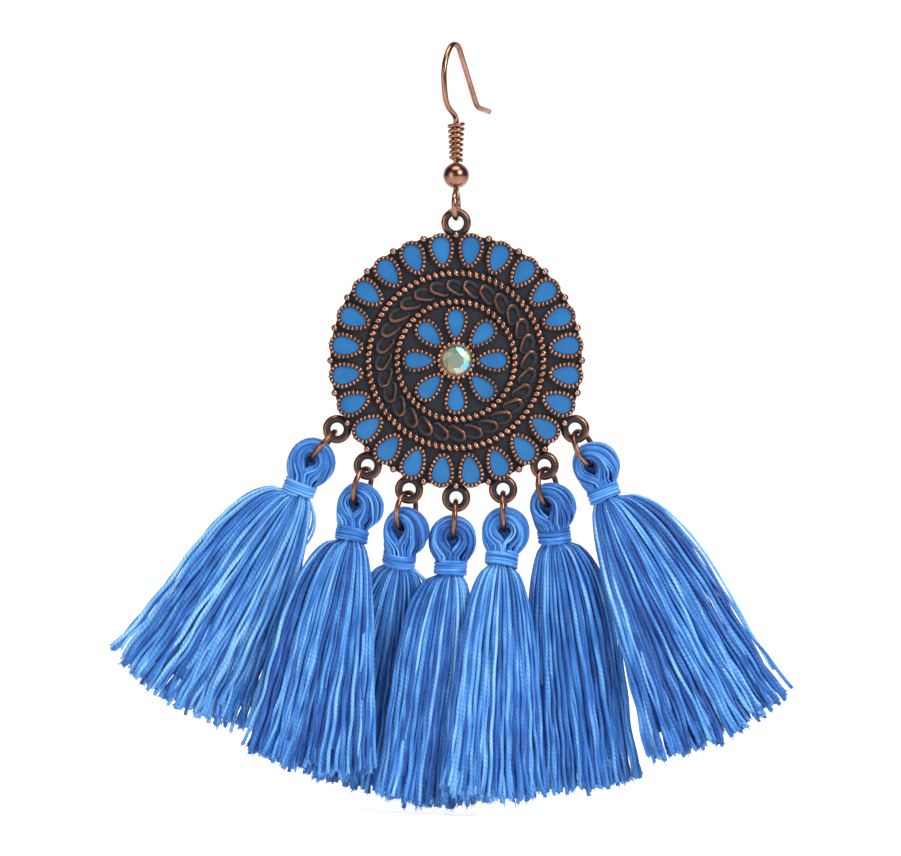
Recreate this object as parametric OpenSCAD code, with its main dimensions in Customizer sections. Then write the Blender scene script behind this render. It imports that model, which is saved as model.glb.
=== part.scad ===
// Drop earring: a round enamelled medallion on a fish-hook ear wire, with a fan of seven thread
// tassels. Millimetres. The origin is the seat of the ear wire, under the top of its bend. +Z is
// up, and the medallion faces -Y. Tassels, loops and jump rings are numbered from left to right.

/* [Ear hook] */
// Diameter of the hook's wire
wire_d = 0.66; // [0.5:0.02:0.9]
// Height of the hook from its seat to the coil
hook_h = 9; // [7:0.25:12]
// How far the hook's plane is turned from front-to-back towards +X, in degrees
hook_turn = 30; // [0:5:60]
// How far the eye's plane is turned the same way, in degrees
eye_turn = 8; // [0:1:15]
// Diameter of the eye across its wire's middle
eye_d = 3.14; // [2.6:0.02:4]
// Diameter of the bead
bead_d = 3; // [2:0.1:4]

/* [Coil] */
// Diameter of the thin wire in the coil
coil_wire_d = 0.44; // [0.3:0.02:0.5]
// Turns in the coil
coil_turns = 7; // [3:1:9]
// Space between one turn and the next
coil_space = 0.16; // [0.1:0.02:0.4]

/* [Medallion] */
// Radius of the plate
plate_r = 14.55; // [14.3:0.05:15]
// Thickness of the plate between its back and its sunk ground
plate_t = 1.3; // [1.1:0.1:2.5]
// Width of the bevel round the plate's edges
plate_edge = 0.2; // [0.1:0.05:0.4]
// Height of the cell walls over the ground
wall_h = 0.5; // [0.3:0.05:0.8]
// Width of the cell walls
wall_w = 0.4; // [0.25:0.05:0.45]
// Depth of the enamel below the ground
enamel_depth = 0.4; // [0.2:0.05:0.6]
// Distance of the enamel's surface below the top of the cell walls
enamel_sink = 0.18; // [0.05:0.01:0.3]
// Height of the scalloped rim's lower edge over the back
scallop_rise = 0.5; // [0.2:0.05:0.8]

/* [Rim cells] */
// Number of egg-shaped cells round the rim
cell_count = 24; // [20:2:24]
// Length of a cell's enamel
cell_l = 3.25; // [2.8:0.05:3.6]
// Radius of a cell's outer, wide end
cell_wide_r = 1.1; // [0.8:0.05:1.15]
// Radius of a cell's inner, narrow end
cell_narrow_r = 0.45; // [0.3:0.05:0.7]
// Radius of a cell's bulging sides, as a share of its length
cell_bulge = 1.05; // [0.95:0.05:1.5]
// Distance of the enamel's outer end from the plate's edge
cell_inset = 0.13; // [0.05:0.01:0.3]
// Radius of the granule between two cells
granule_r = 0.4; // [0.3:0.02:0.5]

/* [Rope and chain rings] */
// Space between the walls of the cells and the outer rope
outer_space = 0.37; // [0.2:0.01:0.6]
// Space between the walls of the petals and the inner rope
inner_space = 0.28; // [0.15:0.01:0.5]
// Width of a rope ring
rope_w = 0.6; // [0.5:0.05:0.9]
// Height of a rope's middle over the ground
rope_rise = 0.08; // [0:0.01:0.15]
// Number of links in the ring
link_count = 28; // [20:1:30]
// Length of a link
link_l = 2.4; // [2.2:0.05:3]
// Width of a link
link_w = 1.6; // [1.2:0.05:1.7]
// Width of a link's wire
link_wire = 0.38; // [0.26:0.02:0.5]
// Height of a link's middle over the ground
link_rise = 0.05; // [0:0.01:0.15]
// How far a link is turned from the line of the ring, in degrees
link_turn = 28; // [15:1:35]
// How far a link leans out of the ground, in degrees
link_lean = 7; // [3:1:10]

/* [Flower] */
// Number of petals
petal_count = 8; // [6:1:8]
// Length of a petal's enamel
petal_l = 3.3; // [2.8:0.05:3.4]
// Radius of a petal's outer, wide end
petal_wide_r = 1; // [0.7:0.05:1.1]
// Radius of a petal's inner, narrow end
petal_narrow_r = 0.28; // [0.2:0.02:0.5]
// Radius of a petal's bulging sides, as a share of its length
petal_bulge = 1.15; // [1:0.05:1.5]
// Width of the petals' walls
petal_wall_w = 0.32; // [0.2:0.02:0.4]
// Space between the stone's setting and the walls of the petals
petal_space = 0.12; // [0.05:0.01:0.3]

/* [Stone] */
// Radius of the stone at its girdle
stone_r = 1.7; // [1.4:0.05:1.75]
// Height of the crown over the girdle
crown_h = 0.55; // [0.3:0.05:0.8]
// Depth of the stone below its girdle
pavilion_h = 0.95; // [0.6:0.05:1]
// Height of the stone's girdle over the ground
girdle_rise = 0.35; // [0.25:0.05:0.45]
// Thickness of the girdle
girdle_t = 0.08; // [0.05:0.01:0.15]
// Width of the setting's wall
setting_w = 0.42; // [0.3:0.02:0.5]
// Bevel along the top of the setting
setting_edge = 0.15; // [0.05:0.05:0.25]

/* [Loops] */
// Radius of the wire of the hanging ring at the top
hang_wire_r = 0.43; // [0.35:0.01:0.5]
// Radius of the hanging ring, to the middle of its wire
hang_r = 1.3; // [1.25:0.05:1.6]
// Radius of the wire of a lower loop
loop_wire_r = 0.46; // [0.38:0.01:0.5]
// Radius of a lower loop, to the middle of its wire
loop_r = 1.21; // [1.18:0.01:1.5]
// Distance of a loop's middle from the plate's edge
loop_rise = 1.35; // [1.2:0.05:1.5]
// Distance of the loops' middle plane in front of the plate's
loop_lift = 0.05; // [0:0.01:0.1]

/* [Jump rings] */
// Radius of a jump ring, to the middle of its wire
ring_r = 2.13; // [2.05:0.01:2.4]
// Diameter of a jump ring's wire
ring_wire_d = 0.64; // [0.5:0.02:0.7]

/* [Tassels] */
// Length of a skirt, from the neck to the ends
skirt_l = 28; // [20:0.5:34]
// Half of a skirt's thickness from front to back
skirt_depth = 1.6; // [1.2:0.05:1.9]
// Radius of the neck under its wrap
neck_r = 1.5; // [1.3:0.05:1.6]
// Half of the head's outside width
head_r = 2.74; // [2.6:0.02:2.8]
// Radius of the head's hole, where the jump ring passes
head_hole_r = 0.56; // [0.5:0.01:0.65]
// Half of the head's depth from front to back
head_depth = 1.42; // [1.1:0.02:1.5]
// Height of the wrap round the neck
wrap_h = 1.8; // [1.2:0.1:2.4]
// Thickness of the wrap
wrap_t = 0.4; // [0.3:0.05:0.5]
// Distance of the wrap below the place where the head is as wide as the neck
wrap_drop = 0.2; // [0.1:0.05:0.4]
// How far a skirt starts outside the neck
skirt_flare = 0.1; // [0.05:0.01:0.2]
// Locks of thread round a skirt
lock_count = 12; // [8:2:16]
// Depth of the hollows between the locks, as a share of the skirt's half width
lock_depth = 0.07; // [0.02:0.01:0.1]

/* [Clearances] */
// Running gap at the eye, the loops and the heads
run_gap = 0.08; // [0.06:0.01:0.1]
// Gap round a piece that is set or wound in place
set_gap = 0.04; // [0.03:0.01:0.06]
// Space between two heads that hang side by side
head_space = 0.04; // [0.02:0.01:0.2]
// How far forms that are one piece run into each other
fuse = 0.2; // [0.1:0.05:0.3]

/* [Hidden] */
TASSELS = [for (i = [1:7]) i];

// Bends along the wire from its seat, down the front to the coil. A radius and a straight length
// are shares of hook_h. Columns: radius, turn in degrees, straight length after the bend.
FRONT_BENDS = [
    [0.185, 45, 0],
    [0.51, 45, 0],
    [1.02, 15, 0],
    [0.275, 45, 0.11],
    [0.11, -60, 0]
];
// The same from the seat down the back to the tip.
BACK_BENDS = [
    [0.145, 58, 0.77],
    [0.18, -50, 0.23]
];

// One row for each tassel. lean: the jump ring's lean from plumb. turn: the ring and the head
// turned about their own line. tilt: the neck's lean. left, right: directions of the skirt's two
// edges. fore: the skirt's lean to the back. roll: the skirt turned, its right edge to the back.
// All in degrees, to the right where positive. length, left_bulge and right_bulge are shares of
// skirt_l.
LEAN = 0;
TURN = 1;
TILT = 2;
LEFT = 3;
RIGHT = 4;
FORE = 5;
ROLL = 6;
LENGTH = 7;
LEFT_BULGE = 8;
RIGHT_BULGE = 9;
HANG = [
    [-40, 5, -22, -50.5, -9, 4, 4, 1, 0.11, 0.025],
    [-15, 24, -10, -28, 7, -5.5, 0, 0.95, 0.09, 0.025],
    [-8, 30, -8, -24, 7, 11.5, 0, 0.955, 0.065, 0.05],
    [-5, 0, -4, -19, 6, -1, 12, 0.94, 0.085, 0.03],
    [2, 4, -6, -16, 12, -9.5, 0, 0.955, 0.05, 0.045],
    [8, 30, 8, -7, 21, 4, 0, 1.03, 0.035, 0.1],
    [27, 26, 20, 8.5, 44, -4, 5, 1.085, 0.03, 0.105]
];
// Sections of a skirt. Columns: share of its length, share of skirt_depth, share of lock_depth.
SECTION = [
    [0, 0.88, 0],
    [0.06, 1.05, 0.3],
    [0.16, 1.12, 0.6],
    [0.32, 1.08, 0.8],
    [0.55, 1, 1],
    [0.8, 0.95, 1],
    [1, 0.9, 1]
];

wire_r = wire_d / 2;
eye_r = eye_d / 2;
bead_r = bead_d / 2;
coil_wire_r = coil_wire_d / 2;
coil_r = wire_r + set_gap + coil_wire_r;
coil_pitch = coil_wire_d + coil_space;
coil_h = coil_turns * coil_pitch + coil_wire_d;
ring_wire_r = ring_wire_d / 2;

// Degrees of bend between two stations along the wire
bend_step = 12;

// Where a chain of bends ends: [along, drop, heading], with a heading of 0 level and 90 plumb.
function bend_end(rows, i = 0, at = [0, 0, 0]) =
    i == len(rows) ? at : bend_end(rows, i + 1, row_end(rows[i], at));
function row_end(row, at) =
    let (
        r = row[0] * hook_h * sign(row[1]),
        a = at[2],
        b = at[2] + row[1],
        straight = row[2] * hook_h
    )
    [
        at[0] + r * (sin(b) - sin(a)) + straight * cos(b),
        at[1] + r * (cos(a) - cos(b)) + straight * sin(b),
        b
    ];

front_end = bend_end(FRONT_BENDS);
// Distance from the seat's plumb line forward to the stem; it is negative where the stem is behind
stem_along = front_end[0];
stem_x = -stem_along * sin(hook_turn);
stem_y = -stem_along * cos(hook_turn);
coil_top_z = wire_r - front_end[1];
bead_z = coil_top_z - coil_h - set_gap - bead_r;
eye_z = bead_z - bead_r - set_gap - wire_r - eye_r;
pivot_z = eye_z - eye_r + wire_r + run_gap + hang_wire_r;
loop_reach = plate_r + loop_rise;
plate_z = pivot_z - hang_r - loop_reach;

ground_z = plate_t / 2 - loop_lift;
back_z = ground_z - plate_t;
wall_top = ground_z + wall_h;
enamel_top = wall_top - enamel_sink;
enamel_floor = ground_z - enamel_depth;
girdle_z = ground_z + girdle_rise;

// The rings of the pattern, inwards from the plate's edge and outwards from the stone
cell_reach = plate_r - cell_inset;
rope_outer_r = cell_reach - cell_l - wall_w - outer_space - rope_w / 2;
petal_reach = stone_r + set_gap + setting_w + petal_space + petal_wall_w + petal_l;
rope_inner_r = petal_reach + petal_wall_w + inner_space + rope_w / 2;
chain_r = (rope_outer_r + rope_inner_r) / 2;

loop_count = len(HANG);
loop_pitch = 2 * head_r + head_space;
loop_step = 2 * asin(loop_pitch / 2 / loop_reach);
function loop_angle(i) = (i - (loop_count + 1) / 2) * loop_step;
function loop_at(i) = loop_reach * [sin(loop_angle(i)), -cos(loop_angle(i))];
loop_hole_r = loop_r - loop_wire_r;
ring_drop = loop_hole_r - run_gap - ring_wire_r + ring_r;
head_drop = ring_drop + ring_r + head_hole_r - ring_wire_r - run_gap;
hank_r = (head_r - head_hole_r) / 2;
hank_mid = (head_r + head_hole_r) / 2;
wrap_top = sqrt(pow(head_r, 2) - pow(neck_r, 2)) + wrap_drop;
neck_l = wrap_top + wrap_h + set_gap;

// Points of an arc from one angle to another, without its first or last point where asked
function arc(centre, radius, from, to, steps, skip = 0) =
    [for (i = [skip:steps - skip]) let (a = from + (to - from) * i / steps)
        centre + radius * [cos(a), sin(a)]];

// Outline of an egg, grown by a margin: a wide end at the origin, a narrow one below it, and two
// bulging sides that run smoothly into both
function egg_outline(length, wide, narrow, side, grow = 0) =
    let (
        apart = length - wide - narrow,
        v = (pow(side - narrow, 2) - pow(side - wide, 2) - pow(apart, 2)) / (2 * apart),
        u = sqrt(pow(side - wide, 2) - pow(v, 2)),
        high = atan2(-v, u),
        low = atan2(-apart - v, u)
    )
    concat(
        arc([0, 0], wide + grow, high, 180 - high, 10),
        arc([u, v], side + grow, 180 - high, 180 - low, 4, 1),
        arc([0, -apart], narrow + grow, 180 - low, 360 + low, 6),
        arc([-u, v], side + grow, low, high, 4, 1)
    );

// Outline of a link, which has two round ends and straight sides, grown by a margin
function link_outline(grow = 0) =
    let (apart = link_l - link_w)
    concat(
        arc([0, 0], link_w / 2 + grow, 0, 180, 6),
        arc([0, -apart], link_w / 2 + grow, 180, 360, 6)
    );

// Triangles of a loft: rings of points, each counted anticlockwise from above, and a middle point
// last for the lower end
function loft_faces(rings, sides) =
    concat(
        [[for (j = [0:sides - 1]) sides - 1 - j]],
        [for (i = [0:rings - 2], j = [0:sides - 1]) let (k = (j + 1) % sides)
            [i * sides + j, i * sides + k, (i + 1) * sides + k]],
        [for (i = [0:rings - 2], j = [0:sides - 1]) let (k = (j + 1) % sides)
            [i * sides + j, (i + 1) * sides + k, (i + 1) * sides + j]],
        [for (j = [0:sides - 1]) let (k = (j + 1) % sides, low = (rings - 1) * sides)
            [low + j, low + k, rings * sides]]
    );

// Faces of a tube with flat ends: rings of points, each counted clockwise as seen from its start
function tube_faces(rings, sides) =
    concat(
        [[for (j = [0:sides - 1]) sides - 1 - j]],
        [for (i = [0:rings - 2], j = [0:sides - 1]) let (k = (j + 1) % sides)
            [i * sides + j, i * sides + k, (i + 1) * sides + k]],
        [for (i = [0:rings - 2], j = [0:sides - 1]) let (k = (j + 1) % sides)
            [i * sides + j, (i + 1) * sides + k, (i + 1) * sides + j]],
        [[for (j = [0:sides - 1]) (rings - 1) * sides + j]]
    );

// Stations along a chain of bends, each [along, drop, heading], with one every bend_step degrees
function stations(rows) =
    [for (i = [0:len(rows) - 1])
        let (
            row = rows[i],
            at = bend_end([for (j = [0:i]) if (j < i) rows[j]]),
            steps = ceil(abs(row[1]) / bend_step)
        )
        for (k = [1:steps + (row[2] > 0 ? 1 : 0)])
            k > steps ? row_end(row, at) : row_end([row[0], row[1] * k / steps, 0], at)];

module at_stem(z, turn = 0) {
    translate([stem_x, stem_y, z])
        rotate([0, 0, turn])
            children();
}

module ear_hook() {
    sides = 10;
    stem_end = [-front_end[0], wire_r - eye_z - eye_r, -90];
    front = stations(FRONT_BENDS);
    back = stations(BACK_BENDS);
    tip = back[len(back) - 1] + 0.6 * wire_r * [cos(back[len(back) - 1][2]), 0, 0];
    route = concat(
        [stem_end],
        [for (i = [len(front) - 1:-1:0]) [-front[i][0], front[i][1], -front[i][2]]],
        [[0, 0, 0]],
        back,
        [tip]
    );
    rings = len(route);
    points = [for (i = [0:rings - 1], j = [0:sides - 1])
        let (
            at = route[i],
            r = i == rings - 1 ? wire_r * 0.6 : wire_r,
            b = j * 360 / sides
        )
        [at[0] + r * cos(b) * sin(at[2]), r * sin(b), -at[1] + r * cos(b) * cos(at[2])]];
    color("#a8684c") {
        translate([0, 0, wire_r])
            rotate([0, 0, 90 - hook_turn])
                polyhedron(points = points, faces = tube_faces(rings, sides), convexity = 10);
        at_stem(eye_z, -eye_turn)
            rotate([0, 90, 0])
                rotate_extrude($fn = 96)
                    translate([eye_r, 0])
                        circle(r = wire_r, $fn = 24);
    }
}

module hook_coil() {
    steps = 12;
    sides = 6;
    rings = coil_turns * steps + 1;
    points = [for (i = [0:rings - 1], j = [0:sides - 1])
        let (
            a = i * 360 / steps,
            b = j * 360 / sides,
            r = coil_r + set_gap / 4 + coil_wire_r * cos(b)
        )
        [r * cos(a), r * sin(a), i * coil_pitch / steps + coil_wire_r * sin(b)]];
    color("#8f563f")
        at_stem(coil_top_z - coil_h + coil_wire_r)
            polyhedron(points = points, faces = tube_faces(rings, sides), convexity = 10);
}

module hook_bead() {
    color("#a8684c")
        at_stem(bead_z)
            difference() {
                sphere(r = bead_r, $fn = 48);
                cylinder(r = wire_r + set_gap, h = bead_d * 1.3, center = true, $fn = 24);
            }
}

// The medallion's own drawing plane, with its front face up, stood up to face forward
module on_plate() {
    translate([stem_x, stem_y, plate_z])
        rotate([90, 0, 0])
            children();
}

module around(count, offset = 0) {
    for (i = [0:count - 1])
        rotate([0, 0, offset + i * 360 / count])
            children();
}

module cell(grow) {
    translate([0, cell_reach - cell_wide_r])
        polygon(egg_outline(cell_l, cell_wide_r, cell_narrow_r, cell_l * cell_bulge, grow));
}

module petal(grow) {
    translate([0, petal_reach - petal_wide_r])
        polygon(egg_outline(petal_l, petal_wide_r, petal_narrow_r, petal_l * petal_bulge, grow));
}

module slab(low, high) {
    translate([0, 0, low])
        linear_extrude(height = high - low)
            children();
}

module torus(radius, wire) {
    rotate_extrude($fn = 128)
        translate([radius, 0])
            circle(r = wire, $fn = 24);
}

module plate() {
    rotate_extrude($fn = 180)
        polygon([
            [0, back_z],
            [plate_r - plate_edge, back_z],
            [plate_r, back_z + plate_edge],
            [plate_r, ground_z - plate_edge],
            [plate_r - plate_edge, ground_z],
            [0, ground_z]
        ]);
}

module chain_link() {
    rotate([0, link_lean, 0])
        rotate([0, 0, 90])
            translate([0, (link_l - link_w) / 2, -link_wire / 2])
                linear_extrude(height = link_wire)
                    difference() {
                        polygon(link_outline());
                        polygon(link_outline(-link_wire));
                    }
}

module setting() {
    outer = stone_r + set_gap + setting_w;
    rotate_extrude($fn = 96)
        polygon([
            [0, ground_z - fuse],
            [outer, ground_z - fuse],
            [outer, wall_top - setting_edge],
            [outer - setting_edge, wall_top],
            [0, wall_top]
        ]);
}

// Room for the stone: straight beside the girdle and tapered below it
module stone_seat() {
    top = stone_r + set_gap;
    translate([0, 0, girdle_z - set_gap])
        cylinder(r = top, h = crown_h + wall_h + set_gap, $fn = 96);
    translate([0, 0, girdle_z - pavilion_h - 3 * set_gap])
        cylinder(r1 = set_gap * 1.25, r2 = top, h = pavilion_h + 2 * set_gap, $fn = 96);
}

module medallion() {
    half = 180 / cell_count;
    color("#5b4038")
        on_plate() {
            difference() {
                union() {
                    plate();
                    around(cell_count, half)
                        slab(back_z + scallop_rise, wall_top)
                            cell(wall_w);
                    around(petal_count)
                        slab(ground_z - fuse, wall_top)
                            petal(petal_wall_w);
                    setting();
                }
                around(cell_count, half)
                    slab(enamel_floor, wall_top + fuse)
                        cell(0);
                around(petal_count)
                    slab(enamel_floor, wall_top + fuse)
                        petal(0);
                stone_seat();
            }
            around(cell_count)
                translate([0, plate_r - granule_r / 8, ground_z + granule_r / 4])
                    sphere(r = granule_r, $fn = 24);
            translate([0, 0, ground_z + rope_rise])
                torus(rope_outer_r, rope_w / 2);
            translate([0, 0, ground_z + rope_rise])
                torus(rope_inner_r, rope_w / 2);
            around(link_count)
                translate([0, chain_r, ground_z + link_rise])
                    rotate([0, 0, -link_turn])
                        chain_link();
            translate([0, loop_reach, 0])
                torus(hang_r, hang_wire_r);
            for (i = TASSELS)
                translate(loop_at(i))
                    torus(loop_r, loop_wire_r);
        }
}

module enamel_rim() {
    color("#327dcb")
        on_plate()
            around(cell_count, 180 / cell_count)
                slab(enamel_floor + set_gap, enamel_top)
                    cell(-set_gap);
}

module enamel_flower() {
    color("#327dcb")
        on_plate()
            around(petal_count)
                slab(enamel_floor + set_gap, enamel_top)
                    petal(-set_gap);
}

module rhinestone() {
    table_r = stone_r * 0.56;
    break_r = stone_r * 0.8;
    break_h = crown_h * 0.62;
    function ring(count, r, z, a = 0) =
        [for (i = [0:count - 1]) [r * cos(a + i * 360 / count), r * sin(a + i * 360 / count), z]];
    points = concat(
        ring(8, table_r, crown_h, 22.5),
        ring(8, break_r, break_h),
        ring(16, stone_r, girdle_t / 2),
        ring(16, stone_r, -girdle_t / 2),
        [[0, 0, -pavilion_h]]
    );
    faces = concat(
        [[for (k = [0:7]) 7 - k]],
        [for (k = [0:7]) let (b = 8 + k) [(k + 7) % 8, k, b]],
        [for (k = [0:7]) let (b = 8 + k, c = 8 + (k + 1) % 8) [k, c, b]],
        [for (k = [0:7]) let (b = 8 + k, c = 8 + (k + 1) % 8) [b, c, 17 + 2 * k]],
        [for (k = [0:7]) let (b = 8 + k) [b, 17 + 2 * k, 16 + 2 * k]],
        [for (k = [0:7]) let (b = 8 + k) [b, 16 + 2 * k, 16 + (2 * k + 15) % 16]],
        [for (k = [0:15]) let (m = (k + 1) % 16) [16 + k, 16 + m, 32 + m]],
        [for (k = [0:15]) let (m = (k + 1) % 16) [16 + k, 32 + m, 32 + k]],
        [for (k = [0:15]) let (m = (k + 1) % 16) [32 + k, 32 + m, 48]]
    );
    color("#bfe6d8")
        on_plate()
            translate([0, 0, girdle_z])
                polyhedron(points = points, faces = faces);
}

// The line on which a jump ring and its tassel hang: down from the middle of its loop
module on_line(i, drop) {
    at = loop_at(i);
    translate([stem_x + at[0], stem_y, plate_z + at[1]])
        rotate([0, -HANG[i - 1][LEAN], 0])
            translate([0, 0, -drop])
                children();
}

module jump_ring(i) {
    color("#a8684c")
        on_line(i, ring_drop)
            rotate([0, 0, -HANG[i - 1][TURN]])
                rotate([0, 90, 0])
                    torus(ring_r, ring_wire_r);
}

// The head: the hank folded round the ring's wire, open in the middle
module head(i) {
    outline = [for (k = [0:15]) let (a = 11.25 + k * 22.5)
        [hank_mid + hank_r * cos(a) / cos(11.25), head_depth * sin(a)]];
    on_line(i, head_drop)
        rotate([0, 0, -HANG[i - 1][TURN]])
            rotate([90, 0, 0])
                rotate_extrude($fn = 72)
                    polygon(outline);
}

// The middle of the head, upright and leaning fore and aft as the skirt does
module at_head(i) {
    at = loop_at(i);
    lean = HANG[i - 1][LEAN];
    translate([
        stem_x + at[0] + head_drop * sin(lean),
        stem_y,
        plate_z + at[1] - head_drop * cos(lean)
    ])
        rotate([HANG[i - 1][FORE], 0, 0])
            children();
}

module at_neck(i, drop) {
    at_head(i)
        rotate([0, -HANG[i - 1][TILT], 0])
            translate([0, 0, -drop])
                children();
}

function mix(a, b, t) = a + (b - a) * t;

// A point of the skirt in the plane of X and Z: across runs from -1 at the left edge to 1 at the
// right, and along from 0 at the neck to 1 at the ends
function skirt_point(row, across, along) =
    let (
        side = (across + 1) / 2,
        aim = mix(row[LEFT], row[RIGHT], side),
        bulge = skirt_l * across * mix(row[LEFT_BULGE], row[RIGHT_BULGE], side),
        swell = 3.86 * pow(along, 0.6) * pow(max(0, 1 - along), 1.8),
        top = neck_l * [sin(row[TILT]), -cos(row[TILT])],
        start = (neck_r + skirt_flare) * across * [cos(row[TILT]), sin(row[TILT])],
        end = skirt_l * row[LENGTH] * [sin(aim), -cos(aim)]
    )
    top + mix(start, end, along) + bulge * swell * [cos(aim), sin(aim)];

// How far a point is moved to the back by the skirt's roll
function skirt_roll(row, at, along) =
    (at[0] - skirt_point(row, 0, along)[0]) * tan(row[ROLL]) * min(1, along * 5);

module skirt(i) {
    row = HANG[i - 1];
    sides = 4 * lock_count;
    rings = len(SECTION);
    points = [for (s = SECTION, j = [0:sides - 1])
        let (
            a = j * 360 / sides,
            lock = 1 + lock_depth * s[2] * (cos(a * lock_count) - 1) / 2,
            uneven = s[0] < 1 ? 1 : 1 + 0.015 * sin(a * 5 + i * 70),
            at = skirt_point(row, cos(a) * lock, s[0] * uneven)
        )
        [at[0], skirt_depth * s[1] * sin(a) * lock + skirt_roll(row, at, s[0]), at[1]]];
    tip = skirt_point(row, 0, 0.97);
    polyhedron(
        points = concat(points, [[tip[0], 0, tip[1]]]),
        faces = loft_faces(rings, sides),
        convexity = 6
    );
}

module tassel(i) {
    color("#3c78d7") {
        head(i);
        at_neck(i, neck_l + 2 * fuse)
            cylinder(r = neck_r, h = neck_l + 3 * fuse - hank_mid, $fn = 36);
        at_head(i)
            skirt(i);
    }
}

module tassel_wrap(i) {
    inside = neck_r + set_gap;
    round = wrap_t * 0.35;
    color("#3f7cd9")
        at_neck(i, wrap_top + wrap_h)
            rotate_extrude($fn = 72)
                polygon([
                    [inside, 0],
                    [inside + wrap_t - round, 0],
                    [inside + wrap_t, round],
                    [inside + wrap_t, wrap_h - round],
                    [inside + wrap_t - round, wrap_h],
                    [inside, wrap_h]
                ]);
}

ear_hook();
hook_coil();
hook_bead();
medallion();
enamel_rim();
enamel_flower();
rhinestone();
for (i = TASSELS) {
    jump_ring(i);
    tassel(i);
    tassel_wrap(i);
}
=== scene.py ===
# %% [markdown]
# # Dressing a tassel earring
#
# The solids of this earring are already built to size: an ear wire, a cast medallion with enamel,
# and seven thread tassels on jump rings. This script loads them as a fixed frame and gives them the
# detail that a maker's hands and tools leave: beaded borders, rope wire, a cut stone, oxidised
# copper, and tassels of real folded thread. Each step says what a piece is, how it could be made in
# Blender, and why this way was taken.

# %% Load the frame
import math

import bpy
import numpy as np
from mathutils import Matrix, Vector


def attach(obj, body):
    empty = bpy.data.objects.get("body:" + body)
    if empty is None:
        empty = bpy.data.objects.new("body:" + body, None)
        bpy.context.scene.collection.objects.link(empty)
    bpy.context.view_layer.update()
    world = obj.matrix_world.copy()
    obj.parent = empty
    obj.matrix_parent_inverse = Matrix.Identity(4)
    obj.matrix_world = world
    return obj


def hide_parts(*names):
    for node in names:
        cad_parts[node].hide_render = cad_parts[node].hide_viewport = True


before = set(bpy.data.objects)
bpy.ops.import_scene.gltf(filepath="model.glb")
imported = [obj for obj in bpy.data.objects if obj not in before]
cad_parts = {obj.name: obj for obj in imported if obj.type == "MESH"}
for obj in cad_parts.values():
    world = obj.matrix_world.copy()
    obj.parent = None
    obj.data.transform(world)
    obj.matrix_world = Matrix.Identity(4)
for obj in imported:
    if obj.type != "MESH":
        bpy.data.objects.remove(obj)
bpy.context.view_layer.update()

# %% [markdown]
# ## Sizes
#
# Everything is in metres and stands where the solids stand, so this cell repeats the few sizes of
# the solids that later pieces are set against. MM turns millimetres into metres. The plate of the
# medallion is a vertical disc that faces -Y. PLATE is the matrix that takes a drawing made flat on
# the plate, with X to the right, Y up and Z out towards the viewer, to its place in the scene.

# %% Sizes of the solids
MM = 0.001
WIRE_R = 0.33
HOOK_H = 9.0
HOOK_TURN = 30
EYE_TURN = 8
EYE_R = 1.57
COIL_WIRE_R = 0.22
COIL_TURNS = 7
COIL_PITCH = 0.6
BEAD_R = 1.5
SET_GAP = 0.04
STEM = Vector((0.14831, 0.25688))
EYE_Z = -18.2544
PLATE_Z = -36.1844
BEAD_Z = EYE_Z + EYE_R + WIRE_R + SET_GAP + BEAD_R
COIL_LOW_Z = BEAD_Z + BEAD_R + SET_GAP
PLATE_R = 14.55
GROUND = 0.6
WALL_TOP = 1.1
CHAIN_H = 0.64
LOOP_REACH = 15.9
LOOP_STEP = 2 * math.degrees(math.asin(5.52 / 2 / LOOP_REACH))
RING_R = 2.13
RING_WIRE_R = 0.32
RING_DROP = 2.48
HEAD_DROP = 4.77
HEAD_R = 2.74
HEAD_HOLE_R = 0.56
HEAD_DEPTH = 1.42
NECK_R = 1.5
WRAP_H = 1.8
WRAP_TOP = math.sqrt(HEAD_R**2 - NECK_R**2) + 0.2
NECK_L = WRAP_TOP + WRAP_H + SET_GAP
SKIRT_L = 28
SKIRT_DEPTH = 1.6
PLATE = Matrix(((1, 0, 0, STEM.x), (0, 0, -1, STEM.y), (0, 1, 0, PLATE_Z), (0, 0, 0, 1)))
print("medallion's middle, mm:", tuple(round(v, 2) for v in PLATE.translation))

# %% [markdown]
# ## Small helpers for working as by hand
#
# Blender's operators act on whatever is selected, so each step starts from an empty selection.
# These helpers select one piece or some of its faces, apply a modifier, and hand a finished piece to
# its body. The last one is a turn about an axis, in degrees.

# %% Selecting, applying and settling a piece
def select_nothing():
    if bpy.context.mode != "OBJECT":
        bpy.ops.object.mode_set(mode="OBJECT")
    bpy.ops.object.select_all(action="DESELECT")


def take(piece):
    select_nothing()
    piece.select_set(True)
    bpy.context.view_layer.objects.active = piece
    return piece


def pick(piece, test, parts="vertices"):
    """Open the piece in edit mode with only the vertices or faces selected that pass the test."""
    take(piece)
    for kind in (piece.data.vertices, piece.data.edges, piece.data.polygons):
        for item in kind:
            item.select = False
    for item in getattr(piece.data, parts):
        item.select = test(item)
    bpy.context.tool_settings.mesh_select_mode = (parts == "vertices", False, parts == "polygons")
    bpy.ops.object.mode_set(mode="EDIT")


def apply_modifier(piece, kind, **settings):
    take(piece)
    modifier = piece.modifiers.new(kind.lower(), kind)
    for setting, value in settings.items():
        setattr(modifier, setting, value)
    bpy.ops.object.modifier_apply(modifier=modifier.name)


def settle(piece, name, finish, body, stands_for=()):
    take(piece)
    bpy.ops.object.transform_apply(location=True, rotation=True, scale=True)
    piece.name = name
    piece.data.name = name
    piece.data.materials.clear()
    piece.data.materials.append(finish)
    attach(piece, body)
    if stands_for:
        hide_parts(*stands_for)
    faces = sum(len(p.vertices) - 2 for p in piece.data.polygons)
    print(f"{name}: {faces} triangles")
    return piece


def turned(axis, degrees):
    return Matrix.Rotation(math.radians(degrees), 4, axis)


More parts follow.
